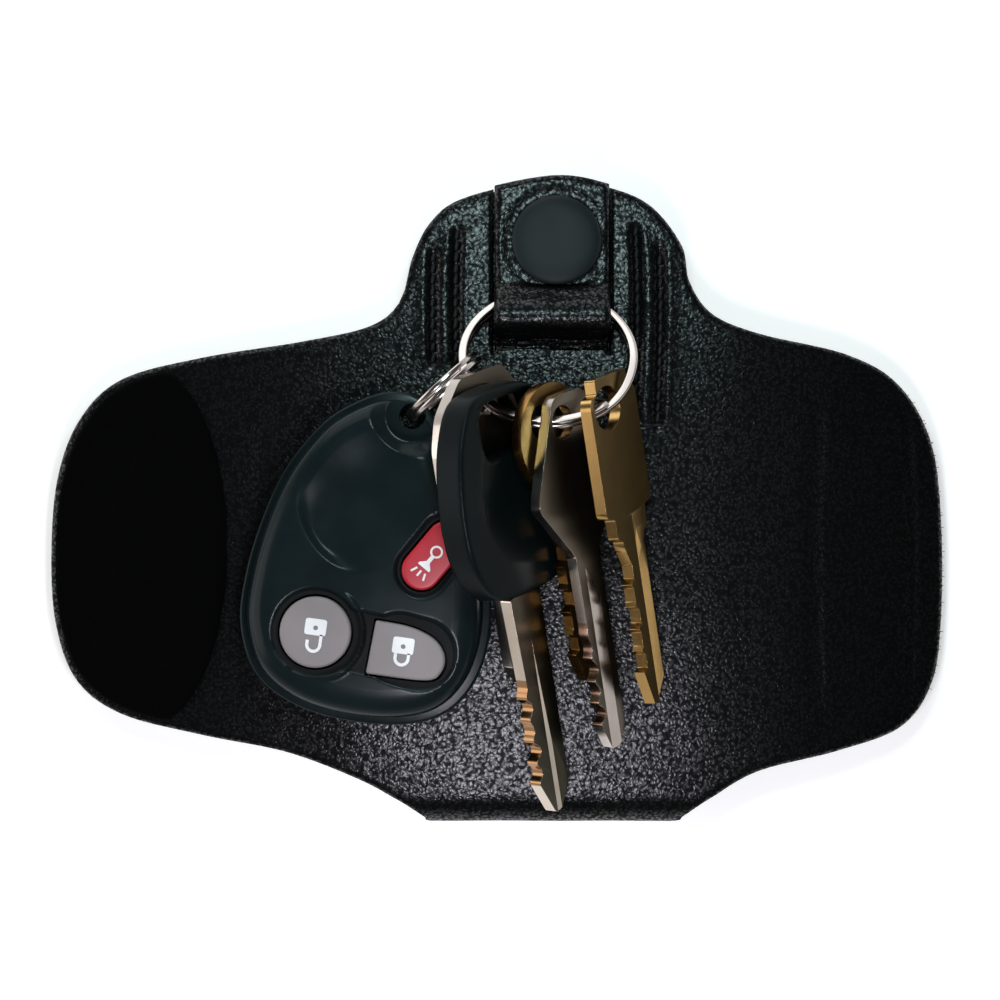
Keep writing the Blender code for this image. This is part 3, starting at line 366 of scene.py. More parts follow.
def makeMetal(name, colour, stain, roughness, lines=0.5, blotch=0.5, face=None, cut=None):
    # face is a darker colour painted on the flat faces, painted shade for the dark leather that they reflect;
    # cut is that of the bare metal along the bitting
    made, tree, shader = startMaterial(name, {"Base Color": colour, "Roughness": roughness,
                                              "Metallic": 1.0})
    wear = useGroup(tree, handledMetal, {"Lines": lines, "Blotch": blotch})
    stained = mixColour(tree, wear["Patch"], colour, stain)
    rough = addMath(tree, "ADD", addMath(tree, "MULTIPLY", wear["Wear"], 0.16),
                    addMath(tree, "MULTIPLY", wear["Patch"], 0.08))
    # painted shade: the flat faces take the darker face colour, and they are made rougher
    if face:
        flat = readMarks(tree, "flat")
        stained = mixColour(tree, flat, stained, face)
        rough = addMath(tree, "ADD", rough, addMath(tree, "MULTIPLY", flat, 0.14))
    if cut:
        stained = mixColour(tree, readMarks(tree, "cut"), stained, cut)
    setSockets(tree, shader, {"Base Color": stained, "Roughness": addMath(tree, "ADD", rough, roughness),
                              "Normal": addBump(tree, wear["Wear"], 0.12, 0.02 * mm)})
    return made


def makeMoulded(name, colour, roughness, size, depth, sheen=0.0, level=0.5, well=None):
    # well is a painted shade colour that darkens the hollows round the buttons
    made, tree, shader = startMaterial(name, {"Base Color": colour, "Roughness": roughness,
                                              "Sheen Weight": sheen, "Specular IOR Level": level})
    grain = useGroup(tree, mouldTexture, {"Size": size})
    light = tuple(1.25 * value for value in colour)
    tone = mixColour(tree, addRamp(tree, grain["Cloud"], [(0.35, 0.0), (0.7, 1.0)]), colour, light)
    rough = addRamp(tree, grain["Cloud"], [(0.3, roughness - 0.05), (0.7, roughness + 0.07)])
    if well:
        # painted shade: the marked hollows are darkened towards the well colour, and made rougher
        deep = readMarks(tree, "well")
        tone = mixColour(tree, deep, tone, well)
        rough = addMath(tree, "ADD", rough, addMath(tree, "MULTIPLY", deep, 0.35))
    setSockets(tree, shader, {"Base Color": tone, "Roughness": rough,
                              "Normal": addBump(tree, grain["Height"], 0.5, depth)})
    return made


finishes = dict(
    leather=makeLeather("blackLeather", (0.0008, 0.0010, 0.0011), (0.0018, 0.0023, 0.0026), 0.60, 0.040 * mm),
    pile=makeMoulded("loopPile", (0.0006, 0.0006, 0.0007), 0.95, 0.32, 0.30 * mm, sheen=0.005, level=0.05),
    tape=makeMoulded("hookTape", (0.004, 0.004, 0.005), 0.75, 0.5, 0.15 * mm, level=0.25),
    hook=makeMoulded("hookNylon", (0.010, 0.010, 0.011), 0.45, 0.5, 0.01 * mm),
    thread=makeMoulded("blackThread", (0.004, 0.005, 0.006), 0.6, 0.2, 0.05 * mm, level=0.3),
    snapCap=makeMoulded("snapEnamel", (0.0060, 0.0100, 0.0112), 0.5, 0.22, 0.012 * mm, level=0.2),
    snapSteel=makeMetal("snapSteel", (0.50, 0.50, 0.50), (0.38, 0.37, 0.36), 0.3),
    ring=makeMetal("ringNickel", (0.58, 0.51, 0.48), (0.50, 0.43, 0.40), 0.17, 0.15, 0.25),
    # the third colour of each key metal is painted shade for its flat faces, and a fourth is the bare metal
    # of the bitting
    keyNickel=makeMetal("keyNickel", (0.56, 0.50, 0.46), (0.44, 0.36, 0.30), 0.17, 0.25, 0.3,
                        (0.16, 0.135, 0.105), (0.32, 0.20, 0.155)),
    keySteel=makeMetal("keySteel", (0.60, 0.52, 0.44), (0.48, 0.36, 0.27), 0.16, 0.25, 0.3,
                       (0.055, 0.050, 0.036), (0.33, 0.185, 0.090)),
    # a darker copy of the brass, painted shade for the key that lies behind the others
    shadedBackBrass=makeMetal("shadedBackBrass", (0.38, 0.20, 0.060), (0.30, 0.15, 0.045), 0.24, 0.25, 0.3,
                        (0.24, 0.145, 0.050)),
    brass=makeMetal("keyBrass", (0.50, 0.31, 0.115), (0.40, 0.23, 0.075), 0.20, 0.25, 0.3,
                    (0.27, 0.175, 0.066)),
    # the well colour is painted shade in the hollows round the buttons
    plastic=makeMoulded("remotePlastic", (0.0062, 0.0110, 0.0120), 0.22, 0.3, 0.006 * mm, level=0.14,
                        well=(0.0012, 0.0018, 0.0020)),
    rubber=makeMoulded("keyRubber", (0.0020, 0.0040, 0.0043), 0.36, 0.35, 0.02 * mm, level=0.09),
    greyButton=makeMoulded("greyButton", (0.205, 0.180, 0.180), 0.55, 0.2, 0.01 * mm),
    redButton=makeMoulded("redButton", (0.40, 0.006, 0.018), 0.4, 0.2, 0.008 * mm),
    print=makeMoulded("whitePrint", (0.75, 0.75, 0.75), 0.5, 0.2, 0.004 * mm),
    board=makeMoulded("boardGreen", (0.02, 0.09, 0.04), 0.4, 0.4, 0.01 * mm),
    cell=makeMetal("cellSteel", (0.55, 0.55, 0.53), (0.5, 0.5, 0.48), 0.25))
print("materials made")


# Leather sheet: everything is placed by x across and s along its middle surface
outline = smoothRun([(x * holder["width"], y * holder["length"]) for x, y in outlineShares], 12)
leftTip, rightTip = int(np.argmin(outline[:, 0])), int(np.argmax(outline[:, 0]))
tipLeft, tipRight = outline[leftTip, 0], outline[rightTip, 0]
upperEdge = outline[leftTip:rightTip + 1]
lowerLeft = outline[:leftTip + 1][::-1]
lowerRight = outline[rightTip:][::-1]


def upperY(x):
    return np.interp(x, upperEdge[:, 0], upperEdge[:, 1])


def lowerY(x):
    left = np.interp(x, lowerLeft[:, 0], lowerLeft[:, 1])
    right = np.interp(x, lowerRight[:, 0], lowerRight[:, 1])
    inside = (x >= holder["strapLeft"]) & (x <= holder["strapRight"])
    return np.where(inside, -holder["length"] / 2, np.where(x < 0, left, right))


def droop(x):
    # the square of the distance from the flat middle, as a share of the distance to the tip
    left = np.clip((holder["leftDroop"] - x) / (holder["leftDroop"] + holder["width"] / 2), 0, None)
    right = np.clip((x - holder["rightDroop"]) / (holder["width"] / 2 - holder["rightDroop"]), 0, None)
    return holder["droop"] * (left ** 2 + right ** 2)


def lowerS(x):
    # where the outline ends, measured round the lower fold
    y = lowerY(x)
    reach = np.clip((holder["foldStart"] - y) / (holder["foldRadius"] + holder["thick"] / 2), 0, 1)
    return np.where(y < holder["foldStart"], holder["foldStart"] - holder["foldRadius"] * np.arcsin(reach), y)


def strapEndS(x):
    # the strap reaches almost to the tab's upper edge
    return holder["foldBack"] - (upperY(x) - 0.15 * mm - holder["foldStart"])


def onSheet(x, s, n):
    # flat, then an arc round the lower fold, then flat again behind, rising to the tab's back
    radius = holder["foldRadius"] + n
    angle = np.clip((holder["foldStart"] - s) / holder["foldRadius"], 0, math.pi)
    beyond = np.clip(holder["foldBack"] - s, 0, None)
    y = np.where(s > holder["foldStart"], s, holder["foldStart"] - radius * np.sin(angle) + beyond)
    rise = smoothStep((beyond - holder["opening"]) / holder["ramp"])
    z = (holder["strapMid"] + holder["foldRadius"] + radius * np.cos(angle) - droop(x)
         + rise * (holder["backMid"] - holder["strapMid"]))
    return np.stack([x, y, z], -1)


def edgeLines():
    # the sheet's cut edges as stretches in x and s
    ends = np.linspace(holder["strapLeft"], holder["strapRight"], 40)
    lines = [upperEdge, np.stack([ends, strapEndS(ends)], -1)]
    for part in (lowerLeft[lowerLeft[:, 0] < holder["strapLeft"]],
                 lowerRight[lowerRight[:, 0] > holder["strapRight"]]):
        lines.append(np.stack([part[:, 0], lowerS(part[:, 0])], -1))
    for x in (holder["slitLeft"], holder["slitRight"]):
        lines.append(np.array([(x, holder["rootY"]), (x, holder["slitTop"])]))
    for x in (holder["strapLeft"], holder["strapRight"]):
        lines.append(np.array([(x, holder["foldFoot"]), (x, strapEndS(x))]))
    return np.vstack([np.stack([line[:-1], line[1:]], 1) for line in lines])


sheetEdges = edgeLines()


def edgeDistance(x, s, edges):
    # the least distance from each point to the stretches
    flat = np.stack([x.ravel(), s.ravel()], -1)
    nearest = np.full(len(flat), 1.0)
    for start, end in edges:
        along = end - start
        t = np.clip((flat - start) @ along / max(along @ along, 1e-12), 0, 1)
        gap = flat - start - t[:, None] * along
        nearest = np.minimum(nearest, np.hypot(gap[:, 0], gap[:, 1]))
    return nearest.reshape(x.shape)


# Stitched grooves of the tab: x of each row, its top and its foot
seams = dict(rows=[(-11.4 * mm, 45.6 * mm, 25.0 * mm), (-7.2 * mm, 49.2 * mm, 25.0 * mm),
                   (25.2 * mm, 49.6 * mm, 15.4 * mm), (29.4 * mm, 46.2 * mm, 14.2 * mm)],
             depth=0.75 * mm, width=0.85 * mm, stitch=2.05 * mm, gap=0.60 * mm, thread=0.40 * mm)


def seamX(x0, s):
    # the rows follow the tab's waist: they lean outwards a little towards their foot
    return x0 + np.sign(x0 - 9 * mm) * 0.35 * mm * np.sin((s - 20 * mm) / (30 * mm) * math.pi)


def relief(x, s):
    # sewn grooves, slow hills and creases of the grained face, in metres out of the sheet
    height = 0.10 * mm * np.sin(x / (11 * mm) + 0.6) * np.sin(s / (13 * mm) + 1.1)
    height += 0.06 * mm * np.sin(x / (4.7 * mm) + s / (7.1 * mm)) * np.sin(s / (5.3 * mm) - x / (9 * mm))
    for x0, top, foot in seams["rows"]:
        fade = smoothStep((top + 0.6 * mm - s) / (1.2 * mm)) * smoothStep((s - foot + 0.6 * mm) / (1.2 * mm))
        height -= seams["depth"] * bump(x - seamX(x0, s), seams["width"]) * fade
        height += 0.12 * mm * bump(np.abs(x - seamX(x0, s)) - 1.7 * mm, 0.8 * mm) * fade
    for x0, deep, wide in ((58.7 * mm, 0.25 * mm, 0.9 * mm), (75.4 * mm, 0.3 * mm, 1.0 * mm),
                           (-42.0 * mm, 0.12 * mm, 0.8 * mm)):
        wander = 0.8 * mm * np.sin(s / (14 * mm) + x0 * 200)
        height -= deep * bump(x - x0 - wander, wide) * smoothStep((32 * mm - np.abs(s + 10 * mm)) / (14 * mm))
    return height


def stations(length, pitch, rim):
    # distances from 0 to each column's length, crowded within a rim's width of both ends
    close = np.array([0, 0.02, 0.08, 0.18, 0.32, 0.5, 0.72, 1.0]) * rim
    inner = max(4, int(np.max(length) / pitch))
    head = np.minimum(close[:, None], 0.3 * length[None, :] * (close / close[-1])[:, None])
    t = np.linspace(0, 1, inner)[1:-1, None]
    first, last = head[-1], length - head[-1]
    return np.vstack([head, first + (last - first) * t, length - head[::-1]])


def columnsBetween(start, end, tip=False, fine=()):
    # x values from start to end, crowded at a rounded tip and about lines that need detail
    count = int(abs(end - start) / holder["pitch"]) + 2
    t = np.linspace(0, 1, count)
    if tip:
        t = np.linspace(0, 1, int(count * 1.4))
        t = 1 - (1 - t) ** 2 * (0.75 + 0.25 * (1 - t))
    xs = start + (end - start) * t
    low, high = min(start, end), max(start, end)
    for centre, half, step in fine:
        extra = np.arange(centre - half, centre + half + step / 2, step)
        extra = extra[(extra > low) & (extra < high)]
        xs = np.concatenate([xs[np.abs(xs - centre) > half + step / 2], extra])
    ends = np.array([low, high])
    xs = np.concatenate([xs[(np.abs(xs - low) > 0.05 * mm) & (np.abs(xs - high) > 0.05 * mm)], ends])
    if tip:
        near = start + (end - start) * (1 - np.array([0.02, 0.1, 0.25, 0.5]) * mm / abs(end - start))
        xs = np.concatenate([xs[np.abs(xs - end) > 0.6 * mm], near, [end]])
    return np.unique(np.round(xs, 8))


def sheetBlocks(xs, top, low, sides):
    # the grained face, the flesh face and the wanted side walls of one stretch of the sheet
    length = top(xs) - low(xs)
    s = top(xs)[None, :] - stations(length, holder["pitch"], holder["edgeRound"])
    x = np.broadcast_to(xs[None, :], s.shape)
    half = holder["thick"] / 2 * rimShare(edgeDistance(x, s, sheetEdges), holder["edgeRound"])
    lift = relief(x, s) * np.clip(half / (holder["thick"] / 2), 0, 1)
    face = onSheet(x, s, half + np.where(half > 0, lift, 0))
    flesh = onSheet(x, s, -half + 0.35 * lift)
    return [face, flesh] + [wall for wall, wanted in zip(sideWalls(face, flesh), sides) if wanted]


def makeSheet(name, parts, body, replaced=()):
    # parts are stretches (xs, top, low, (left wall, right wall)) merged into one closed piece
    blocks = [block for part in parts for block in sheetBlocks(*part)]
    piece = makePiece(name, blocks, finishes["leather"], sharp=60, close=True)
    return settle(piece, finishes["leather"], body, "black_leather", replaced)


def buildLeather():
    left, right = holder["bodyLeft"], holder["strapRight"]
    sLeft, sRight, strap = holder["slitLeft"], holder["slitRight"], holder["strapLeft"]
    fine = [(x0, 2.4 * mm, 0.22 * mm) for x0, _, _ in seams["rows"]]
    fine += [(x0, 1.2 * mm, 0.2 * mm) for x0 in (sLeft, sRight)]
    columns = columnsBetween(left, right, fine=fine)

    def columnsFrom(low, high, *extra):
        wanted = (columns >= low - 1e-9) & (columns <= high + 1e-9)
        return np.unique(np.concatenate([columns[wanted], extra]))

    def rootAt(x):
        return np.minimum(upperY(x), holder["rootY"])

    def cornerAt(x):
        return np.where((x >= strap) & (x <= holder["strapRight"]), holder["foldFoot"], lowerS(x))

    makeSheet("leatherBody", [
        (columnsFrom(left, right, strap, sLeft, sRight), rootAt, cornerAt, (True, True)),
        (columnsFrom(left, sLeft, sLeft), upperY, rootAt, (False, False)),
        (columnsFrom(sRight, right, sRight), upperY, rootAt, (False, False)),
        (columnsFrom(strap, right, strap), cornerAt, strapEndS, (False, False))],
        "holder", ["body_leather"])
    folds, z = holder["folds"], holder["frontMid"]
    fine = [(x0, 2.4 * mm, 0.3 * mm) for x0 in folds]
    middleLeft, middleRight = holder["leftMiddle"], holder["rightMiddle"]
    for name, start, end, bodies, fold, reach, ways, node in (
            ("leatherLeftSide", left, middleLeft, ("holder", "left_side"), folds[0], holder["foldHalf"], -1,
             "left_side_strip"),
            ("leatherLeftFlap", middleLeft, tipLeft, ("left_side", "left_flap_body"), folds[1],
             holder["foldHalf"], -1, "left_flap"),
            ("leatherRightSide", right, middleRight, ("holder", "right_side"), folds[2],
             holder["rightFoldHalf"], 1, "right_side_strip"),
            ("leatherRightFlap", middleRight, tipRight, ("right_side", "right_flap_body"), folds[3],
             holder["foldHalf"], 1, "right_flap")):
        tip = end in (tipLeft, tipRight)
        xs = columnsBetween(start, end - (0.01 * mm * ways if tip else 0), tip=tip, fine=fine)
        makeSheet(name, [(xs, upperY, lowerS, (not tip or ways > 0, not tip or ways < 0))],
                  (*bodies, (fold - ways * reach, 0, z), (fold + ways * reach, 0, z)), [node])
    print("leather body and wings made")


buildLeather()

# Hook and loop patches
patches = dict(thickness=0.9 * mm, margin=1.1 * mm, rim=0.8 * mm, pitch=0.7 * mm, sunk=0.25 * mm,
               loopEdge=-49.2 * mm, roundShare=0.96, fuzz=0.035 * mm,
               hookEdge=50.4 * mm, hookPitch=1.7 * mm, hookHeight=1.15 * mm, hookWire=0.17 * mm,
               fringe=(-34, 20, 0.95))  # the hooks along the wing's edge: from, to and pitch, in millimetres


def patchLines(side):
    # the wing's outline scaled a margin towards its middle
    tip = abs(tipRight if side > 0 else tipLeft)
    share = (tip - patches["margin"]) / tip
    second = holder["folds"][1]
    middle = (upperY(second) + lowerY(second)) / 2
    tall = (upperY(second) - lowerY(second)) / 2

    def halfAt(x):
        t = np.clip((x - second) / (patches["loopEdge"] - second), 0, 1)
        return np.where(side < 0, tall * np.sqrt(np.clip(1 - t ** 2 * patches["roundShare"], 0, 1)), 1.0)

    def source(x):
        return np.minimum(np.abs(x) / share, tip - 0.02 * mm) * side

    def top(x):
        return np.minimum(upperY(source(x)) - patches["margin"], middle + halfAt(x))

    def low(x):
        return np.maximum(lowerY(source(x)) + patches["margin"], middle - halfAt(x))

    return top, low


def makePatch(name, xs, side, inner, outer, finish, body, slot, replaced, fuzz=0.0):
    # inner and outer are distances from the leather's middle; the outer face has round edges
    top, low = patchLines(side)
    length = np.maximum(top(xs) - low(xs), 0.4 * mm)
    s = top(xs)[None, :] - stations(length, patches["pitch"], patches["rim"])
    x = np.broadcast_to(xs[None, :], s.shape)
    border = np.vstack([np.stack([xs, top(xs)], -1), np.stack([xs, low(xs)], -1)[::-1]])
    border = np.vstack([border, border[:1]])
    swell = rimShare(edgeDistance(x, s, np.stack([border[:-1], border[1:]], 1)), patches["rim"])
    noise = np.random.default_rng(7).normal(0, fuzz, s.shape) * swell
    base = outer * 0.55 + inner * 0.45 if abs(outer) > abs(inner) else inner
    shown = onSheet(x, s, base + (outer - base) * swell + noise)
    hidden = onSheet(x, s, np.full(s.shape, inner))
    walls = sideWalls(shown, hidden) + [np.stack([shown[k], hidden[k]], 0) for k in (0, -1)]
    piece = makePiece(name, [shown, hidden] + walls, finish, sharp=65)
    return settle(piece, finish, body, slot, replaced)


def tubeAlong(points, radius, sides):
    # rings of points about a path, closed at both ends; the radius may vary along it
    points = np.asarray(points, float)
    way = np.gradient(points, axis=0)
    way /= np.linalg.norm(way, axis=1)[:, None]
    first = np.cross(way, (0.3, 0.5, 0.8))
    first /= np.linalg.norm(first, axis=1)[:, None]
    second = np.cross(way, first)
    radius = np.broadcast_to(np.asarray(radius, float), (len(points),))
    turn = np.linspace(0, 2 * math.pi, sides, endpoint=False)
    rings = (points[:, None] + radius[:, None, None]
             * (np.cos(turn)[None, :, None] * first[:, None] + np.sin(turn)[None, :, None] * second[:, None]))
    caps = [np.repeat(points[k][None, None], sides, 1) for k in (0, -1)]
    return np.concatenate([caps[0], rings, caps[1]]), False, True


def wingEdge(ys):
    # x of the right wing's edge at each y, in millimetres
    line = np.vstack([part[part[:, 0] > 70 * mm] for part in (upperEdge, lowerRight[::-1])]) / mm
    line = line[np.argsort(line[:, 1])]
    stops = np.linspace(*patches["fringe"][:2], 28)
    return np.interp(ys, stops, np.interp(stops, line[:, 1], line[:, 0]))


def hookRings(x, y, under, heading, lean):
    # up from the tape, then over in an arc; lean is how far it goes sideways for its height
    t = np.linspace(0, 1, 7)
    out = patches["hookHeight"] * (lean * 1.35 * t ** 1.3 + 0.35 * np.sin(t * math.pi / 2) ** 4)
    down = patches["hookHeight"] * (np.sin(t * 2.3) * (0.9 - 0.35 * lean))
    path = onSheet(x + out * math.cos(heading), y + out * math.sin(heading), under - down + 0.1 * mm)
    return tubeAlong(path, patches["hookWire"] / 2 * (1.15 - 0.5 * t), 4)


def buildPatches():
    z, half = holder["frontMid"], holder["foldHalf"]
    face, sunk = holder["thick"] / 2, patches["sunk"]
    under = -face - patches["thickness"] * 0.75
    left, right = holder["folds"][1], holder["folds"][3]
    bodies = ("right_side", "right_flap_body", (right - half, 0, z), (right + half, 0, z))
    xs = columnsBetween(patches["loopEdge"], tipLeft + patches["margin"], True, [(left, 2 * mm, 0.35 * mm)])
    makePatch("loopPatch", xs, -1, face - sunk, face + patches["thickness"], finishes["pile"],
              ("left_side", "left_flap_body", (left + half, 0, z), (left - half, 0, z)),
              "loop_pile", ["loop_patch_side", "loop_patch_flap"], patches["fuzz"])
    xs = columnsBetween(patches["hookEdge"], tipRight - 0.35 * mm, True, [(right, 2 * mm, 0.35 * mm)])
    makePatch("hookPatch", xs, 1, -face + sunk, under, finishes["tape"], bodies, "hook_tape",
              ["hook_patch_side", "hook_patch_flap"])
    # hooks stand on the tape and curl over; along the wing's edge they lean out past it
    chance = np.random.default_rng(11)
    upper, lower = patchLines(1)
    pitch = patches["hookPitch"]
    blocks = []
    for x in np.arange(patches["hookEdge"] + 1 * mm, tipRight - 1.2 * mm, pitch):
        for y in np.arange(lower(x) + 0.8 * mm, upper(x) - 0.8 * mm, pitch * 0.8):
            nudged = x + chance.normal(0, 0.15) * mm
            blocks.append(hookRings(nudged, y, under, chance.uniform(0, 2 * math.pi), 0.25))
    for y in np.arange(*patches["fringe"]):
        x = (wingEdge(y) + chance.normal(0, 0.12) - 1.1) * mm
        blocks.append(hookRings(x, (y + chance.normal(0, 0.2)) * mm, under, chance.normal(0.1, 0.5), 1.0))
    piece = makePiece("tapeHooks", blocks, finishes["hook"], sharp=70, weld=0.0001 * mm)
    settle(piece, finishes["hook"], bodies, "hook_tape")
    print("patches and hooks made")


buildPatches()

# Tongue: mid line in y and z with filleted corners
tongue = dict(left=-0.45 * mm, right=20.25 * mm, level=13.3 * mm, top=17.4 * mm,
              foot=28.1 * mm, knee=30.1 * mm, kneeRise=1.75 * mm, near=32.1 * mm, far=34.2 * mm,
              end=38.6 * mm, radii=(1.6 * mm, 0.9 * mm, 1.6 * mm, 2.4 * mm, 1.8 * mm), bendEnd=30.0 * mm,
              rim=1.2 * mm, pitch=0.55 * mm,
              wrinkles=((1.0, 0.48, 0.42), (2.2, 0.52, 0.45), (3.4, 0.46, 0.45), (4.7, 0.26, 0.5),
                        (6.3, 0.18, 0.6), (8.2, 0.10, 0.7), (15.2, 0.08, 0.8)))  # place, depth, width in mm
snap = dict(x=10.7 * mm, y=46.9 * mm)


def filletPoints(before, corner, after, radius):
    # an arc that rounds the corner between two others
    inward, outward = (before - corner), (after - corner)
    inward, outward = inward / np.linalg.norm(inward), outward / np.linalg.norm(outward)
    half = math.acos(np.clip(inward @ outward, -1, 1)) / 2
    middle = (inward + outward) / np.linalg.norm(inward + outward)
    centre = corner + middle * radius / math.sin(half)
    first, last = (corner + way * radius / math.tan(half) - centre for way in (inward, outward))
    a, b = (math.atan2(v[1], v[0]) for v in (first, last))
    b += 2 * math.pi * round((a - b) / (2 * math.pi))
    angles = np.linspace(a, b, 10)
    return centre + radius * np.stack([np.cos(angles), np.sin(angles)], -1)


def tongueLine():
    # the tongue's mid line from its root to the snap, and the distance along it
    t = tongue
    corners = np.array([(holder["rootY"], holder["frontMid"]), (t["foot"], holder["frontMid"]),
                        (t["knee"], holder["frontMid"] + t["kneeRise"]), (t["near"], t["top"]),
                        (t["far"], t["top"]), (t["end"], t["level"]), (snap["y"], t["level"])])
    arcs = [filletPoints(*corners[i:i + 3], radius) for i, radius in enumerate(t["radii"])]
    line = np.vstack([corners[:1], *arcs, corners[-1:]])
    way = np.hypot(*np.diff(line, axis=0).T)
    return line, np.concatenate([[0], np.cumsum(way)])


def buildTongue():
    # u runs along the mid line and x across it; the leather's two faces lie off it by its half thickness
    line, along = tongueLine()
    rim, left, right, reach = tongue["rim"], tongue["left"], tongue["right"], along[-1]
    xs = left + stations(np.array([right - left]), tongue["pitch"], rim)[:, 0]
    free = upperY(xs) - snap["y"] + reach
    crowd = 1 - np.array([0, 0.02, 0.08, 0.18, 0.32, 0.5, 0.75]) * rim / free.mean()
    u = np.unique(np.concatenate([np.linspace(0, 1, 110), crowd]))[:, None] * free[None, :]
    x = np.broadcast_to(xs[None, :], u.shape)

    def lineAt(v):
        return np.stack([np.interp(v, along, line[:, k]) for k in (0, 1)], -1)

    beyond, onLine = u > reach, lineAt(u)
    y = np.where(beyond, snap["y"] + u - reach, onLine[..., 0])
    z = np.where(beyond, tongue["level"], onLine[..., 1])
    step = 0.25 * mm
    way = lineAt(np.clip(u + step, 0, reach)) - lineAt(np.clip(u - step, 0, reach))
    way[np.hypot(way[..., 0], way[..., 1]) < step * 0.5] = (1, 0)
    way /= np.linalg.norm(way, axis=-1)[..., None]
    way[0] = (1, 0)
    # the least distance to the sides or the free end, round at the two corners
    side, end = np.minimum(x - left, right - x), free[None, :] - u
    near = np.where((side < rim) & (end < rim), np.clip(1 - np.hypot(1 - side / rim, 1 - end / rim), 0, 1),
                    np.clip(np.minimum(side, end) / rim, 0, 1))
    half = holder["thick"] / 2 * rimShare(near, 1)
    wave = 0.5 * mm * np.sin(x / (3.1 * mm)) + 0.25 * mm * np.sin(x / (1.3 * mm) + 1)
    wrinkle = 0.05 * mm * np.sin(x / (1.9 * mm)) * np.sin(u / (2.3 * mm))
    for place, depth, width in tongue["wrinkles"]:
        wrinkle -= depth * mm * bump(u - place * mm - wave, width * mm)
    # a pressed ring round the snap's cap
    away = np.hypot(x - snap["x"], y - snap["y"])
    wrinkle -= 0.35 * mm * bump(away - 8.6 * mm, 1.3 * mm) * (u > reach - 9 * mm)
    lift = wrinkle * np.clip(half / (holder["thick"] / 2), 0, 1)
    lift[0] = 0
    # side bulge of the hump, where the bent hide spreads a little
    middle = (left + right) / 2
    wide = middle + (x - middle) * (1 + 0.010 * bump(u - 11 * mm, 6 * mm))

    def offset(n):
        return np.stack([wide, y - way[..., 1] * n, z + way[..., 0] * n], -1)

    face, flesh = offset(half + lift), offset(-half + 0.3 * lift)
    walls = sideWalls(face, flesh) + [np.stack([face[0], flesh[0]], 0)]
    piece = makePiece("ringTongue", [face, flesh] + walls, finishes["leather"], sharp=60, close=True)
    piece = carve(piece, [pillar(1.9 * mm, (snap["x"], snap["y"]), 8 * mm, 18 * mm, 64)])
    settle(piece, finishes["leather"], ("holder", "tongue", (0, holder["rootY"], holder["frontMid"]),
                                        (0, tongue["bendEnd"], holder["frontMid"])),
           "black_leather", ["ring_tongue"], sharp=60)
    print("tongue made")


def turnedGrid(profile, centre, steps=64):
    # a profile of radius and height turned about the vertical through centre
    profile = np.asarray(profile, float)
    if profile[0, 0] > 0:
        profile = np.vstack([profile, profile[:1]])
    turn = np.linspace(0, 2 * math.pi, steps, endpoint=False)
    grid = np.stack([centre[0] + profile[:, :1] * np.cos(turn), centre[1] + profile[:, :1] * np.sin(turn),
                     np.broadcast_to(profile[:, 1:], (len(profile), steps))], -1)
    return grid, False, True


def pillar(radius, centre, low, high, steps=56):
    profile = [(0, low), (radius, low), (radius, high), (0, high)]
    return makePiece("pillarCutter", [turnedGrid(profile, centre, steps)], finishes["print"])


def softened(profile, width):
    # each corner of a profile cut by two points a little before and after it
    profile = np.asarray(profile, float)
    out = [profile[0]]
    for before, corner, after in zip(profile[:-2], profile[1:-1], profile[2:]):
        for other in (before, after):
            reach = np.linalg.norm(other - corner)
            out.append(corner + (other - corner) / reach * min(width, reach * 0.35))
    out.append(profile[-1])
    return np.array(out)


def buildStitches():
    blocks = []
    chance = np.random.default_rng(5)
    along, around = np.linspace(-1, 1, 9), np.linspace(0, 2 * math.pi, 8, endpoint=False)
    for x0, top, foot in seams["rows"]:
        for s in np.arange(foot + 0.9 * mm, top - 0.5 * mm, seams["stitch"]):
            lean = 0.16 + chance.normal(0, 0.03)
            reach = (seams["stitch"] - seams["gap"]) / 2 + 0.25 * mm
            radius = seams["thread"] * np.sqrt(np.clip(1 - along ** 2, 0, 1)) ** 0.6
            x = seamX(x0, s) + along * reach * lean
            centre = onSheet(x, s + along * reach, np.full(9, holder["thick"] / 2 - seams["depth"] * 0.62)
                             - 0.25 * mm * along ** 4)
            grid = centre[:, None] + radius[:, None, None] * np.stack(
                [np.cos(around), 0 * around, np.sin(around)], -1)[None]
            blocks.append((grid, False, True))
    # a short bar of thread closes the right-hand rows at their foot
    for x, s in ((24.9, 14.9), (29.1, 13.7)):
        for k in range(2):
            t = np.linspace(0, 1, 7)
            path = onSheet((x - 2.6 + 1.9 * k + t * 1.5) * mm, np.full(7, s * mm) + 0.1 * mm * np.sin(t * 3),
                           holder["thick"] / 2 + (0.28 * np.sin(t * math.pi) - 0.12) * mm)
            blocks.append(tubeAlong(path, 0.28 * mm, 8))
    piece = makePiece("tabStitches", blocks, finishes["thread"], sharp=60, weld=0.0001 * mm)
    settle(piece, finishes["thread"], "holder", "black_leather")
    print("stitches made")


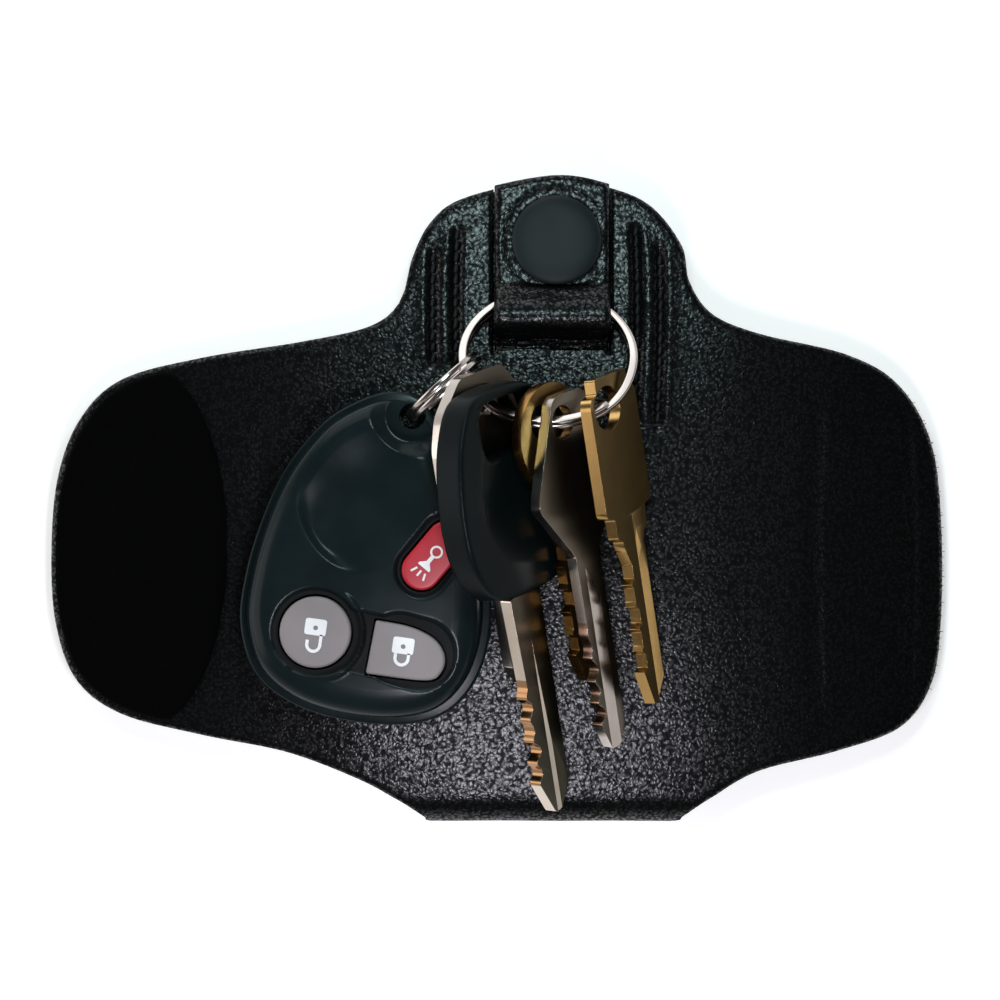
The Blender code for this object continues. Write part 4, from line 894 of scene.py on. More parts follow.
def buildSnap():
    # four turned pieces about the snap's axis; radii and heights over each datum in millimetres
    half = holder["thick"] / 2
    over, under = tongue["level"] + half, tongue["level"] - half - 0.3 * mm
    back = holder["backMid"]
    base = back + half + 0.3 * mm
    shank, headRise = (11.0 * mm - over) / mm, (base - back) / mm + 1.5
    dome = [(8.0 * math.sin(a), 0.75 + 1.15 * (1 - math.sin(a) ** 4) ** 0.5)
            for a in np.linspace(0, math.pi / 2, 26)]
    for name, datum, profile, finish, body, slot, node, soft in (
            ("snapCap", over, dome + [(8.0, 0.45), (7.7, 0.15), (7.2, 0.05), (1.7, 0.05), (1.7, shank),
                                      (0, shank)],
             "snapCap", "tongue", "snap_black", "snap_cap", 0),
            ("snapSocket", under, [(2.0, 0), (5.6, 0), (6.1, -0.5), (6.2, -1.2), (6.0, -1.9), (4.6, -2.1),
                                   (4.3, -2.9), (3.1, -2.9), (2.9, -2.5), (2.9, -1.2), (2.0, -1.1)],
             "snapSteel", "tongue", "snap_steel", "snap_socket", 0.18),
            ("snapStud", base, [(0, 3.0), (1.7, 3.0), (2.35, 2.8), (2.6, 2.35), (2.5, 1.8), (2.3, 1.2),
                                (2.35, 0.8), (3.0, 0.55), (5.2, 0.5), (5.6, 0.3), (5.6, 0), (1.8, 0),
                                (1.8, 2.0), (0, 2.0)],
             "snapSteel", "holder", "snap_steel", "snap_stud", 0.1),
            ("snapPost", back, [(0, headRise), (1.5, headRise), (1.5, -1.5), (5.2, -1.5), (5.0, -1.95),
                                (4.3, -2.2), (3.6, -2.1), (3.0, -1.9), (0, -1.9)],
             "snapSteel", "holder", "snap_steel", "snap_post", 0.12)):
        profile = np.asarray(profile) * mm + (0, datum)
        if soft:
            profile = softened(profile, soft * mm)
        piece = makePiece(name, [turnedGrid(profile, (snap["x"], snap["y"]))], finishes[finish], sharp=38)
        settle(piece, finishes[finish], body, slot, [node])
    print("snap fastener made")


buildTongue()
buildStitches()
buildSnap()

# Split rings: two flat turns, one over the other, joined by a jog; one unbroken strip
ring = dict(radius=15.2 * mm, wide=1.5 * mm, high=0.9 * mm, gap=0.3 * mm, tilt=math.radians(38),
            hinge=(9.1 * mm, 37.6 * mm, 9.3 * mm), seam=math.radians(-20), corner=0.26 * mm)
smallRing = dict(radius=8.0 * mm, wide=1.0 * mm, high=0.9 * mm, gap=0.3 * mm, rise=math.radians(16),
                 link=math.radians(-80), seam=math.radians(60), corner=0.24 * mm)
jog = math.radians(22)
ringEnd = math.radians(6)
ringMatrix = (Matrix.Translation(ring["hinge"]) @ Matrix.Rotation(-ring["tilt"], 4, "X")
              @ Matrix.Translation((0, -ring["radius"], 0)))


def moved(points, matrix):
    # points of any shape through a 4 x 4 matrix
    turn = np.array(matrix)
    return points @ turn[:3, :3].T + turn[:3, 3]


def roundedSection(wide, high, corner, count=4):
    # half sizes less the corner, plus a quarter circle in each corner
    points = []
    for sx, sy, start in ((1, 1, 0), (-1, 1, 90), (-1, -1, 180), (1, -1, 270)):
        for a in np.radians(np.linspace(start, start + 90, count)):
            points.append((sx * (wide / 2 - corner) + corner * math.cos(a),
                           sy * (high / 2 - corner) + corner * math.sin(a)))
    return np.array(points)


def makeCoil(name, size, matrix, body, node, steps):
    # a rounded strip wound twice: its level is a smooth step from the lower turn to the upper at the jog
    start = jog + ringEnd
    a = np.linspace(start, 4 * math.pi - start, steps * 2)
    level = (size["high"] + size["gap"]) / 2
    lift = level * (2 * smoothStep((a - 2 * math.pi + jog) / (2 * jog)) - 1)
    section = roundedSection(size["wide"], size["high"], size["corner"])
    # each end thins over its last 0.4 mm
    run = np.minimum(a - a[0], a[-1] - a) * size["radius"]
    thin = 1 - 0.3 * np.clip(1 - run / (0.4 * mm), 0, 1) ** 2
    r = size["radius"] + section[None, :, 0] * thin[:, None]
    z = lift[:, None] + section[None, :, 1] * thin[:, None]
    turn = (a + size["seam"])[:, None]
    grid = moved(np.stack([r * np.cos(turn), r * np.sin(turn), z], -1), matrix)
    settle(loftPiece(name, grid, finishes["ring"], 50), finishes["ring"], body, "nickel", [node])


eyelet = Vector((ring["hinge"][0] - 24.2 * mm, ring["hinge"][1] - 22.5 * mm, 16.6 * mm))


def onRing(angle):
    # a point on the strip, the angle measured from the ring's lowest point in the view
    return ringMatrix @ Vector((ring["radius"] * math.sin(angle), -ring["radius"] * math.cos(angle), 0))


def buildRings():
    makeCoil("keyRing", ring, ringMatrix, "ring", "key_ring", 110)
    link = onRing(smallRing["link"])
    reach = Vector((link.x - eyelet.x, link.y - eyelet.y, 0)).normalized()
    across = Vector((0, 0, 1)).cross(reach)
    ahead = reach * math.cos(smallRing["rise"]) + Vector((0, 0, 1)) * math.sin(smallRing["rise"])
    turn = Matrix((ahead, -ahead.cross(across), across)).transposed().to_4x4()
    makeCoil("remoteRing", smallRing, Matrix.Translation(eyelet + ahead * smallRing["radius"]) @ turn,
             "small_ring", "remote_ring", 70)
    print("rings made")


buildRings()


# Keys: each lies in its own plane, its hole at the origin and its blade down -Y
def keyMatrix(key):
    # angle is the key's place on the ring; the blade slopes down to its tip and the key leans on an edge
    matrix = Matrix.Translation(onRing(math.radians(key["angle"])))
    for turn, axis in ((9, "Z"), (key["slope"], "X"), (key["lean"], "Y")):
        matrix = matrix @ Matrix.Rotation(math.radians(turn), 4, axis)
    return matrix


def bladeSide(half, start, end, shares, deepest, flatShare):
    # flats cut in at equal pitch, with peaks between whose sides slope at 45 degrees
    pitch = (start - end) / (len(shares) + 0.4)
    flat = flatShare * pitch
    points, y = [(half, start)], start - pitch
    for i, share in enumerate(shares):
        x = half - deepest * share
        if share:
            points += [(x, y + flat / 2), (x, y - flat / 2)]
        if share and i + 1 < len(shares):
            shallow = min(share, shares[i + 1]) * deepest
            rise = min(shallow, (pitch - flat) / 2)
            points.append((half - shallow + rise, y - pitch / 2))
        y -= pitch
    return points


def bladeOutline(key):
    half, start, tip = key["blade"] / 2, -key["shoulder"], -key["length"]
    cutEdge = bladeSide(half, start, tip + half * 1.6, key["cuts"], key["cutDepth"], key["flatShare"])
    cutEdge.append((half, tip + half * 1.6))
    plain = [(half, start), (half, tip + half)]
    right, left = (cutEdge, plain) if key["side"] > 0 else (plain, cutEdge)
    run = right + [(key["nose"] / 2, tip), (-key["nose"] / 2, tip)] + [(-x, y) for x, y in reversed(left)]
    return [(x + key["offset"], y) for x, y in run]


def circlePoints(centre, radius, count=48, stretch=1.0):
    turn = np.linspace(0, 2 * math.pi, count, endpoint=False)
    return np.stack([centre[0] + radius * stretch * np.cos(turn), centre[1] + radius * np.sin(turn)], -1)


def arcPoints(centre, radius, start, end, count):
    turn = np.radians(np.linspace(start, end, count))
    return np.stack([centre[0] + radius * np.cos(turn), centre[1] + radius * np.sin(turn)], -1)


def roundedOff(points, radius, count=4):
    # every corner of a closed outline replaced by a short curve of the given size
    points = np.asarray(points, float)
    points = points[np.linalg.norm(points - np.roll(points, 1, 0), axis=1) > 0.001 * mm]
    out = []
    for before, corner, after in zip(np.roll(points, 1, 0), points, np.roll(points, -1, 0)):
        a, b = before - corner, after - corner
        reach = min(radius, 0.42 * np.linalg.norm(a), 0.42 * np.linalg.norm(b))
        start, end = corner + a / np.linalg.norm(a) * reach, corner + b / np.linalg.norm(b) * reach
        for t in np.linspace(0, 1, count):
            out.append((1 - t) ** 2 * start + 2 * t * (1 - t) * corner + t ** 2 * end)
    return np.array(out)


def plateMesh(name, outline, thickness, holes, edge, segments=3):
    # a flat outline with holes, centred on z 0, its rims rounded
    curve = bpy.data.curves.new(name, "CURVE")
    curve.dimensions, curve.fill_mode, curve.extrude = "2D", "BOTH", thickness / 2
    for points in (outline, *holes):
        spline = curve.splines.new("POLY")
        spline.points.add(len(points) - 1)
        for point, (x, y) in zip(spline.points, points):
            point.co = (x, y, 0, 1)
        spline.use_cyclic_u = True
    piece = applied(addObject(name, curve))
    body = bmesh.new()
    body.from_mesh(piece.data)
    bmesh.ops.remove_doubles(body, verts=body.verts, dist=0.002 * mm)
    bmesh.ops.recalc_face_normals(body, faces=body.faces)
    body.to_mesh(piece.data)
    body.free()
    if edge:
        rim = piece.modifiers.new("edges", "BEVEL")
        rim.width, rim.segments, rim.limit_method, rim.angle_limit = edge, segments, "ANGLE", math.radians(40)
        piece = applied(piece)
    return piece


def prismCutter(name, section, start, end, runOut=0.0):
    # a section of (x, z) points swept along y, which may grow out of its last point
    rows = [[(x, y, z) for x, z in section] for y in (start - runOut, end)]
    tip = (section[-1][0], start, section[-1][1]) if runOut else tuple(np.mean(rows[0], 0))
    caps = [[tip] * len(section), [tuple(np.mean(rows[1], 0))] * len(section)]
    return makePiece(name, [(np.array([caps[0], rows[0], rows[1], caps[1]]), False, True)], finishes["print"])


def milledGrooves(key):
    # a channel in each face, open at the tip; the front one's floor rises to the right, the back one has a
    # flat floor
    cutters = []
    level, above, end = key["thick"] / 2, key["thick"] / 2 + 0.06 * mm, -key["length"] - 2 * mm
    left, wide, depth, top, runOut = key["channel"]
    left += key["offset"]
    for face in (1, -1):
        section = [(left, level - depth), (left + wide, above), (left, above)]
        if face < 0:
            section = [(left, -above), (left + 0.5 * wide, -above), (left + 0.35 * wide, -level + 0.35 * mm),
                       (left + 0.1 * wide, -level + 0.35 * mm)]
        cutters.append(prismCutter("grooveCutter", section, top, end, runOut if face > 0 else 0.0))
    return cutters


def markBitting(piece, key):
    # the cut edge shows the metal under the plating
    tip = -key["length"] + key["blade"] * 0.7
    markUp(piece, "cut", "FACE", [
        float(abs(face.normal.z) < 0.6 and key["cutTop"] > face.center.y > tip
              and (face.center.x - key["offset"]) * key["side"] > 0) for face in piece.data.polygons])


def settlePlate(piece, matrix, finish, body, slot, node, sharp=35):
    # area-weighted normals keep the flat faces flat beside their rounded rims
    piece.data.transform(matrix)
    piece.data.shade_smooth()
    piece.data.set_sharp_from_angle(angle=math.radians(sharp))
    weights = piece.modifiers.new("normals", "WEIGHTED_NORMAL")
    weights.keep_sharp = True
    piece = applied(piece)
    # the flat faces are marked, and a key metal paints shade on them
    facing = matrix.to_3x3() @ Vector((0, 0, 1))
    markUp(piece, "flat", "FACE",
           [float(abs(face.normal.dot(facing)) > 0.999) for face in piece.data.polygons])
    settle(piece, finish, body, slot, [node])


def mirrored(left):
    # the left side of an outline from its foot up, then the right side back down
    return left + [(-x, y) for x, y in reversed(left)]


houseKey = dict(slope=12, lean=50, thick=2.0 * mm, stretch=1.0, blade=7.0 * mm, nose=2.2 * mm, side=-1,
                cutDepth=2.3 * mm, flatShare=0.3, bitSoft=0.16 * mm)
keys = dict(
    nickelLeft=dict(houseKey, angle=-50, thick=2.2 * mm, offset=-1.2 * mm, hole=2.8 * mm, bow=26.4 * mm,
                    top=5.2 * mm, shoulder=25.0 * mm, length=51.5 * mm, nose=2.4 * mm, side=1,
                    cutDepth=2.4 * mm, cuts=(0.5, 0.9, 0.4, 0.7, 0.35), soft=1.4 * mm,
                    channel=(-0.3 * mm, 1.6 * mm, 0.40 * mm, -24 * mm, 5 * mm),
                    shares=[(-0.13, -0.96), (-0.36, -0.86), (-0.50, -0.66), (-0.50, -0.24), (-0.42, -0.02),
                            (-0.20, 0.97), (0.25, 1.0), (0.42, -0.02), (0.50, -0.24), (0.50, -0.66),
                            (0.36, -0.86), (0.13, -0.96)]),
    brassBack=dict(houseKey, angle=-8, offset=3.0 * mm, hole=3.0 * mm, bow=19.0 * mm, top=6.2 * mm,
                   shoulder=20.0 * mm, length=48.0 * mm, cuts=(0.7, 0.4, 0.8, 0.3, 0.6), flatShare=0.6,
                   channel=(-0.2 * mm, 2.0 * mm, 0.50 * mm, -18 * mm, 6 * mm), soft=0.3 * mm, shares=None),
    nickelRight=dict(houseKey, angle=6, offset=1.4 * mm, hole=3.0 * mm, bow=23.0 * mm, top=4.8 * mm,
                     shoulder=24.0 * mm, length=60.4 * mm, cuts=(0, 0, 0.1, 0.3, 0.7, 0.45, 0.8),
                     channel=(-1.3 * mm, 3.2 * mm, 0.72 * mm, -26 * mm, 6 * mm), soft=1.1 * mm,
                     bitSoft=0.6 * mm, cutTop=-36 * mm,
                     shares=[(-0.16, -0.98), (-0.50, -0.56), (-0.47, -0.46), (-0.16, 0.82), (-0.10, 1.0),
                             (0.20, 1.0), (0.27, 0.80), (0.47, -0.46), (0.50, -0.56), (0.16, -0.98)]),
    brassFront=dict(houseKey, angle=38, slope=9, lean=62, offset=2.9 * mm, hole=3.9 * mm, stretch=1.4,
                    bow=19.6 * mm, top=5.6 * mm, shoulder=25.5 * mm, length=54.1 * mm, blade=8.2 * mm,
                    nose=3.0 * mm, cutDepth=2.6 * mm, cuts=(0.6, 0.35, 0.75, 0.5, 0.65), flatShare=0.62,
                    channel=(0.5 * mm, 3.6 * mm, 1.0 * mm, -19 * mm, 12 * mm), soft=0.6 * mm,
                    shares=mirrored([(-0.23, -0.97), (-0.24, -0.92), (-0.33, -0.90), (-0.34, -0.75),
                                     (-0.48, -0.73), (-0.50, -0.70), (-0.50, 0.20), (-0.46, 0.45),
                                     (-0.34, 0.50), (-0.34, 1.0)])))


def buildKey(name, key, finish, slot, node):
    if key["shares"]:
        bow = [(x * key["bow"], y * (key["top"] if y > 0 else key["shoulder"])) for x, y in key["shares"]]
    else:
        bow = arcPoints((0, key["top"] - key["bow"] / 2), key["bow"] / 2, 245, -65, 60)
    bow = np.asarray(bow) + (key["offset"], 0)
    outline = np.vstack([bow, bladeOutline(key)])
    # the bow's corners are softer than the blade's, and each corner has become four points
    soft = roundedOff(outline, key["soft"])
    crisp = roundedOff(outline, key["bitSoft"])
    outline = np.vstack([soft[:len(bow) * 4], crisp[len(bow) * 4:]])
    hole = circlePoints((0, 0), key["hole"], 48, key["stretch"])
    piece = plateMesh(name, outline, key["thick"], [hole], 0.24 * mm)
    piece = carve(piece, milledGrooves(key), "MANIFOLD")
    if "cutTop" in key:
        markBitting(piece, key)
    settlePlate(piece, keyMatrix(key), finishes[finish], node + "_body", slot, node)


def buildKeys():
    buildKey("nickelKeyLeft", keys["nickelLeft"], "keyNickel", "key_nickel", "nickel_key_left")
    # the key behind takes the darker copy of the brass, which is painted shade
    buildKey("brassKeyBack", keys["brassBack"], "shadedBackBrass", "brass", "brass_key_back")
    buildKey("nickelKeyRight", keys["nickelRight"], "keyNickel", "key_nickel", "nickel_key_right")
    buildKey("brassKeyFront", keys["brassFront"], "brass", "brass", "brass_key_front")
    print("house keys made")


buildKeys()

# Car key: a steel blade moulded into a rubber head with a wide slot
carKey = dict(houseKey, angle=-30, thick=2.3 * mm, offset=-3.8 * mm, shoulder=31.0 * mm,
              length=72.3 * mm, blade=8.4 * mm, nose=1.6 * mm, cutDepth=2.4 * mm,
              cuts=(0, 0, 0, 0.35, 0.6, 0.4, 0.8, 0.55), bitSoft=1.3 * mm, cutTop=-46.5 * mm,
              channel=(-0.2 * mm, 1.5 * mm, 0.34 * mm, -36 * mm, 24 * mm),
              head=30.0 * mm, top=5.6 * mm, headThick=6.0 * mm, rim=1.9 * mm,
              slot=(-2.0 * mm, -1.4 * mm), slotSize=(17.0 * mm, 10.0 * mm, 3.4 * mm),
              bowl=(-3.0 * mm, -13.0 * mm), bowlSize=(10.4 * mm, 13.0 * mm, 1.1 * mm),
              tang=3.0 * mm, tangTop=-18.0 * mm, tangGap=0.3 * mm, voxel=0.28 * mm, rounds=40,
              shares=mirrored([(-0.20, -1.00), (-0.36, -0.93), (-0.47, -0.74), (-0.50, -0.52),
                               (-0.48, -0.28), (-0.42, -0.06), (-0.30, 0.70), (-0.14, 1.00)]))


def lensCutter(centre, size, face, level):
    # a shallow bowl, z falling as one less the square of the distance, closed above the face
    a, b, depth = size
    rings = []
    turn = np.linspace(0, 2 * math.pi, 64, endpoint=False)
    for share in np.linspace(0, 1.12, 12):
        z = level - depth * (1 - share ** 2)
        rings.append([(centre[0] + a * share * math.cos(t), centre[1] + b * share * math.sin(t), face * z)
                      for t in turn])
    lid = level + 2 * mm
    rings.append([(x, y, face * lid) for x, y, _ in rings[-1]])
    rings.append([(centre[0], centre[1], face * lid)] * len(turn))
    return makePiece("lensCutter", [(np.array(rings), False, True)], finishes["print"])


def rubberSoft(piece, pitch, rounds):
    # moulded rubber: an even mesh smoothed until every rim is round
    even = piece.modifiers.new("even", "REMESH")
    even.mode, even.voxel_size = "VOXEL", pitch
    soft = piece.modifiers.new("soft", "SMOOTH")
    soft.factor, soft.iterations = 0.5, rounds
    piece.modifiers.new("fewer", "DECIMATE").ratio = 0.4
    return applied(piece)


def buildCarKey():
    key = carKey
    matrix = keyMatrix(key)
    line = np.array([(x * key["head"] + key["offset"], y * (key["top"] if y > 0 else key["shoulder"]))
                     for x, y in key["shares"]])
    slot = roundedSection(*key["slotSize"], 10) + key["slot"]
    head = plateMesh("carKeyHead", smoothRun(line, 8, closed=True), key["headThick"], [slot], key["rim"], 6)
    cutters = [lensCutter(key["bowl"], key["bowlSize"], face, key["headThick"] / 2) for face in (1, -1)]
    # the pocket clears the tang on every side
    x, z = key["tang"] + key["tangGap"], key["thick"] / 2 + key["tangGap"]
    pocket = [(key["offset"] + sx * x, sz * z) for sx, sz in ((-1, -1), (1, -1), (1, 1), (-1, 1))]
    cutters.append(prismCutter("tangCutter", pocket, -33 * mm, key["tangTop"] + key["tangGap"]))
    head = rubberSoft(carve(head, cutters), key["voxel"], key["rounds"])
    settlePlate(head, matrix, finishes["rubber"], "car_key", "key_rubber", "car_key_head", 40)
    low, high = -key["shoulder"] - 0.6 * mm, key["tangTop"]
    tang = np.array([(-key["blade"] / 2, low), (-key["tang"], low), (-key["tang"], high), (key["tang"], high),
                     (key["tang"], low)]) + (key["offset"], 0)
    outline = roundedOff(np.vstack([tang, bladeOutline(dict(key, shoulder=-low))]), key["bitSoft"])
    blade = plateMesh("carKeyBlade", outline, key["thick"], (), 0.3 * mm)
    blade = carve(blade, milledGrooves(key), "MANIFOLD")
    markBitting(blade, key)
    settlePlate(blade, matrix, finishes["keySteel"], "car_key", "key_steel", "car_key_blade")
    print("car key made")


buildCarKey()

# Remote: two shells, three buttons, and the board and cell inside
remote = dict(wide=45.1 * mm, long=59.5 * mm, high=13.0 * mm, parting=6.5 * mm, base=10.1 * mm,
              shares=[(0.069, 0.500), (-0.093, 0.451), (-0.206, 0.381), (-0.327, 0.261), (-0.415, 0.115),
                      (-0.476, -0.038), (-0.500, -0.191), (-0.444, -0.338), (-0.298, -0.433),
                      (-0.093, -0.485), (0.137, -0.500), (0.310, -0.469), (0.427, -0.381), (0.488, -0.252),
                      (0.496, -0.099), (0.452, 0.084), (0.363, 0.268), (0.282, 0.408), (0.202, 0.488)],
              crown=[(1.5, 0), (1.55, 0.25), (1.68, 0.48), (2.0, 0.64), (2.7, 0.79), (3.9, 0.91), (5.2, 0.97),
                     (6.6, 1.0)],
              bore=2.3 * mm, lug=4.5 * mm, relief=4.6 * mm, seat=0.3 * mm, under=2.2 * mm,
              inside=(-2.4 * mm, -4.4 * mm, 0),
              spaces=dict(boardSpace=(0.70, 4.9 * mm, 8.5 * mm), cellSpace=(0.56, 2.7 * mm, 5.2 * mm)))
remoteCentre = (eyelet.x - 0.186 * remote["wide"], eyelet.y - 0.427 * remote["long"])
remoteTop = remote["base"] + remote["high"]
dish = dict(centre=(-23.3 * mm, 2.4 * mm), a=12.4 * mm, b=15.4 * mm, depth=1.2 * mm)
buttons = dict(unlock=(-32.0 * mm, -23.1 * mm), unlockRadius=6.3 * mm, lock=(-16.2 * mm, -26.4 * mm),
               lockWide=14.0 * mm, lockLong=11.1 * mm, alarm=(-11.1 * mm, -9.6 * mm), alarmRadius=3.5 * mm,
               alarmRun=3.4 * mm, heading=math.radians(50), gap=0.4 * mm, proud=0.5 * mm, height=2.2 * mm,
               shoulder=0.55 * mm,
               lockShares=[(-0.364, 0.490), (0.078, 0.377), (0.377, 0.180), (0.500, -0.080),
                           (0.455, -0.344), (0.247, -0.470), (-0.494, -0.360)])


def remoteRing(line, inset, z):
    # the outline drawn in evenly by an inset, at a height above the remote's base
    x = remoteCentre[0] + line[:, 0] * (remote["wide"] - 2 * inset)
    y = remoteCentre[1] + line[:, 1] * (remote["long"] - 2 * inset)
    return np.stack([x, y, np.full(len(line), remote["base"] + z)], -1)


def alarmEnds():
    # the centres of the red button's two round ends
    along = np.array([math.cos(buttons["heading"]), math.sin(buttons["heading"])]) * buttons["alarmRun"]
    return buttons["alarm"] + along, buttons["alarm"] - along


def unlockOutline(grow):
    return circlePoints(buttons["unlock"], buttons["unlockRadius"] + grow, 72)


def alarmOutline(grow):
    turn, radius = math.degrees(buttons["heading"]), buttons["alarmRadius"] + grow
    return np.vstack([arcPoints(end, radius, turn + start, turn + start + 180, 24)
                      for end, start in zip(alarmEnds(), (-90, 90))])


def lockOutline(grow):
    wide, long = buttons["lockWide"] + 2 * grow, buttons["lockLong"] + 2 * grow
    run = smoothRun([(x * wide, y * long) for x, y in buttons["lockShares"]], 8)
    return roundedOff(run, 0.5 * mm, 3) + buttons["lock"]


def segmentDistance(x, y, start, end):
    along = np.subtract(end, start)
    t = np.clip(((x - start[0]) * along[0] + (y - start[1]) * along[1]) / (along @ along), 0, 1)
    return np.hypot(x - start[0] - t * along[0], y - start[1] - t * along[1])


def buttonWells(x, y):
    # the distance from the round button, and how far inside the two wells each point lies
    lock = np.array(buttons["lock"])
    fromUnlock = np.hypot(x - buttons["unlock"][0], y - buttons["unlock"][1]) - buttons["unlockRadius"]
    fromLock = segmentDistance(x, y, lock + (-1.0 * mm, 0.4 * mm), lock + (2.6 * mm, -0.6 * mm)) - 4.9 * mm
    fromBoth = np.minimum(np.minimum(fromUnlock, fromLock),
                          segmentDistance(x, y, buttons["unlock"], buttons["lock"]) - 3.9 * mm)
    fromAlarm = segmentDistance(x, y, *alarmEnds()) - buttons["alarmRadius"]
    return (fromUnlock, smoothStep((1.75 * mm - fromBoth) / (0.7 * mm)),
            smoothStep((1.6 * mm - fromAlarm) / (0.9 * mm)))


def remoteRelief(x, y):
    # how far the upper shell's face is moved up at each point, in metres
    rho = np.hypot((x - dish["centre"][0]) / dish["a"], (y - dish["centre"][1]) / dish["b"])
    aside = (x - dish["centre"][0]) / dish["a"] * 0.75 + (y - dish["centre"][1]) / dish["b"] * 0.66
    lip = 0.10 + 0.80 * smoothStep((aside + 0.98) / 0.9)
    bowl = dish["depth"] * smoothStep((1 - rho) / lip) * (1 - 0.25 * rho ** 2)
    fromUnlock, well, hollow = buttonWells(x, y)
    heading = np.degrees(np.arctan2(y - buttons["unlock"][1], x - buttons["unlock"][0]))
    fade = smoothStep((heading + 85) / 25) * smoothStep((62 - heading) / 25)
    ridge = 0.45 * mm * bump(fromUnlock - 2.1 * mm, 0.42 * mm) * fade
    scoop = 1.6 * mm * smoothStep((8.0 * mm - np.hypot(x - eyelet.x, y - eyelet.y)) / (3.6 * mm))
    return ridge - np.maximum(bowl, scoop) - np.maximum(0.55 * mm * well, 0.7 * mm * hollow)


def atHeight(outline, z):
    return np.column_stack([outline, np.full(len(outline), z)])


def crownRings(last, shares, rise):
    # rings drawn in towards the middle, rising as one less the square of their share
    centre = last.mean(0)
    return [centre + (last - centre) * share + (0, 0, rise * (1 - share ** 2)) for share in shares]


def buildRemoteShells():
    line = smoothRun(remote["shares"], 16, closed=True)
    low, middle, high = remote["base"] - 2 * mm, remote["base"] + remote["high"] / 2, remoteTop + 2 * mm

    def eyeletCutters(start, end):
        # the bore, and the wider round step that leaves the lug
        place = (eyelet.x, eyelet.y)
        return [pillar(remote["bore"], place, low, high), pillar(remote["relief"], place, start, end)]

    seat = remote["parting"] + remote["seat"]
    rise = remote["high"] - seat
    crown = smoothRun(remote["crown"], 4)
    rings = [remoteRing(line, inset * mm, seat + rise * height) for inset, height in crown]
    rings = np.array(rings + crownRings(rings[-1], np.linspace(1, 0, 84)[1:], 0.12 * mm))
    inside = np.clip((rings[..., 2] - remote["base"] - seat) / (rise * 0.8), 0, 1)
    rings[..., 2] += remoteRelief(rings[..., 0], rings[..., 1]) * inside
    cutters = eyeletCutters(middle + remote["lug"] / 2, high)
    floor = remoteTop - buttons["height"] - 0.6 * mm
    for outlineAt in (unlockOutline, lockOutline, alarmOutline):
        pocket = outlineAt(buttons["gap"])
        cutters.append(loftPiece("pocketCutter", [atHeight(pocket, floor), atHeight(pocket, high)],
                                 finishes["print"]))
    upper = carve(loftPiece("remoteUpperShell", rings, finishes["plastic"]), cutters, "MANIFOLD")
    # the depth in the wells is marked on the points, for the plastic's painted shade
    places = np.empty(len(upper.data.vertices) * 3, np.float32)
    upper.data.vertices.foreach_get("co", places)
    _, well, hollow = buttonWells(*places.reshape(-1, 3).T[:2].astype(float))
    markUp(upper, "well", "POINT", np.maximum(well, hollow).astype(np.float32))
    settle(upper, finishes["plastic"], "remote", "dark_plastic", ["remote_upper_shell"], sharp=42)

    # underside rounded by a quarter circle, small rim at the parting line
    side = [(remote["under"] * (1 - math.sin(a)), remote["under"] * (1 - math.cos(a)))
            for a in np.linspace(0, math.pi / 2, 9)]
    side += [(inset * mm, remote["parting"] - drop * mm)
             for inset, drop in ((0, 0.5), (0.08, 0.25), (0.25, 0.08), (0.5, 0))]
    rings = [remoteRing(line, inset, z) for inset, z in side]

    def innerRing(share, z):
        centre = np.array([*remoteCentre, 0])
        return (remoteRing(line, 0, z) - centre) * (share, share, 1) + centre + remote["inside"]

    cutters = eyeletCutters(low, middle - remote["lug"] / 2)
    for name, (share, start, end) in remote["spaces"].items():
        cutters.append(loftPiece(name, [innerRing(share, start), innerRing(share, end)], finishes["print"]))
    lower = carve(loftPiece("remoteLowerShell", rings, finishes["plastic"]), cutters, "MANIFOLD")
    settle(lower, finishes["plastic"], "remote", "dark_plastic", ["remote_lower_shell"], sharp=42)
    for node, finish in (("remote_circuit_board", "board"), ("remote_cell", "cell")):
        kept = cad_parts[node].data
        kept.materials.clear()
        kept.materials.append(finishes[finish])
    print("remote shells made")


def domedButton(name, outlineAt, finish, body, slot, node):
    # straight sides, a rounded shoulder and a domed face
    top, shoulder = remoteTop + buttons["proud"], buttons["shoulder"]
    rings = [atHeight(outlineAt(0), top - buttons["height"])]
    for a in np.linspace(0, math.pi / 2, 8):
        rings.append(atHeight(outlineAt(-shoulder * (1 - math.cos(a))), top - shoulder * (1 - math.sin(a))))
    rings += crownRings(rings[-1], (0.93, 0.85, 0.7, 0.5, 0.3, 0.12), 0.10 * mm)
    settle(loftPiece(name, rings, finishes[finish], 50), finishes[finish], body, slot, [node])


def raisedMark(name, shapes, centre, heading, body, slot):
    # thin raised shapes drawn about the origin, turned by a heading and laid on a button
    joined = bmesh.new()
    for outline, holes in shapes:
        holes = [np.asarray(hole) * mm for hole in holes]
        piece = plateMesh(name, np.asarray(outline) * mm, 0.16 * mm, holes, 0)
        joined.from_mesh(piece.data)
        bpy.data.objects.remove(piece, do_unlink=True)
    mesh = bpy.data.meshes.new(name)
    joined.to_mesh(mesh)
    joined.free()
    mesh.transform(Matrix.Translation((*centre, remoteTop + buttons["proud"] + 0.09 * mm))
                   @ Matrix.Rotation(math.radians(heading), 4, "Z"))
    settle(addObject(name, mesh), finishes["print"], body, slot, sharp=30)


def stroke(points, width):
    # an open line of points drawn with a flat pen
    points = np.asarray(points, float)
    way = np.gradient(points, axis=0)
    way /= np.linalg.norm(way, axis=1)[:, None]
    side = np.stack([-way[:, 1], way[:, 0]], -1) * width / 2
    return np.vstack([points + side, (points - side)[::-1]])


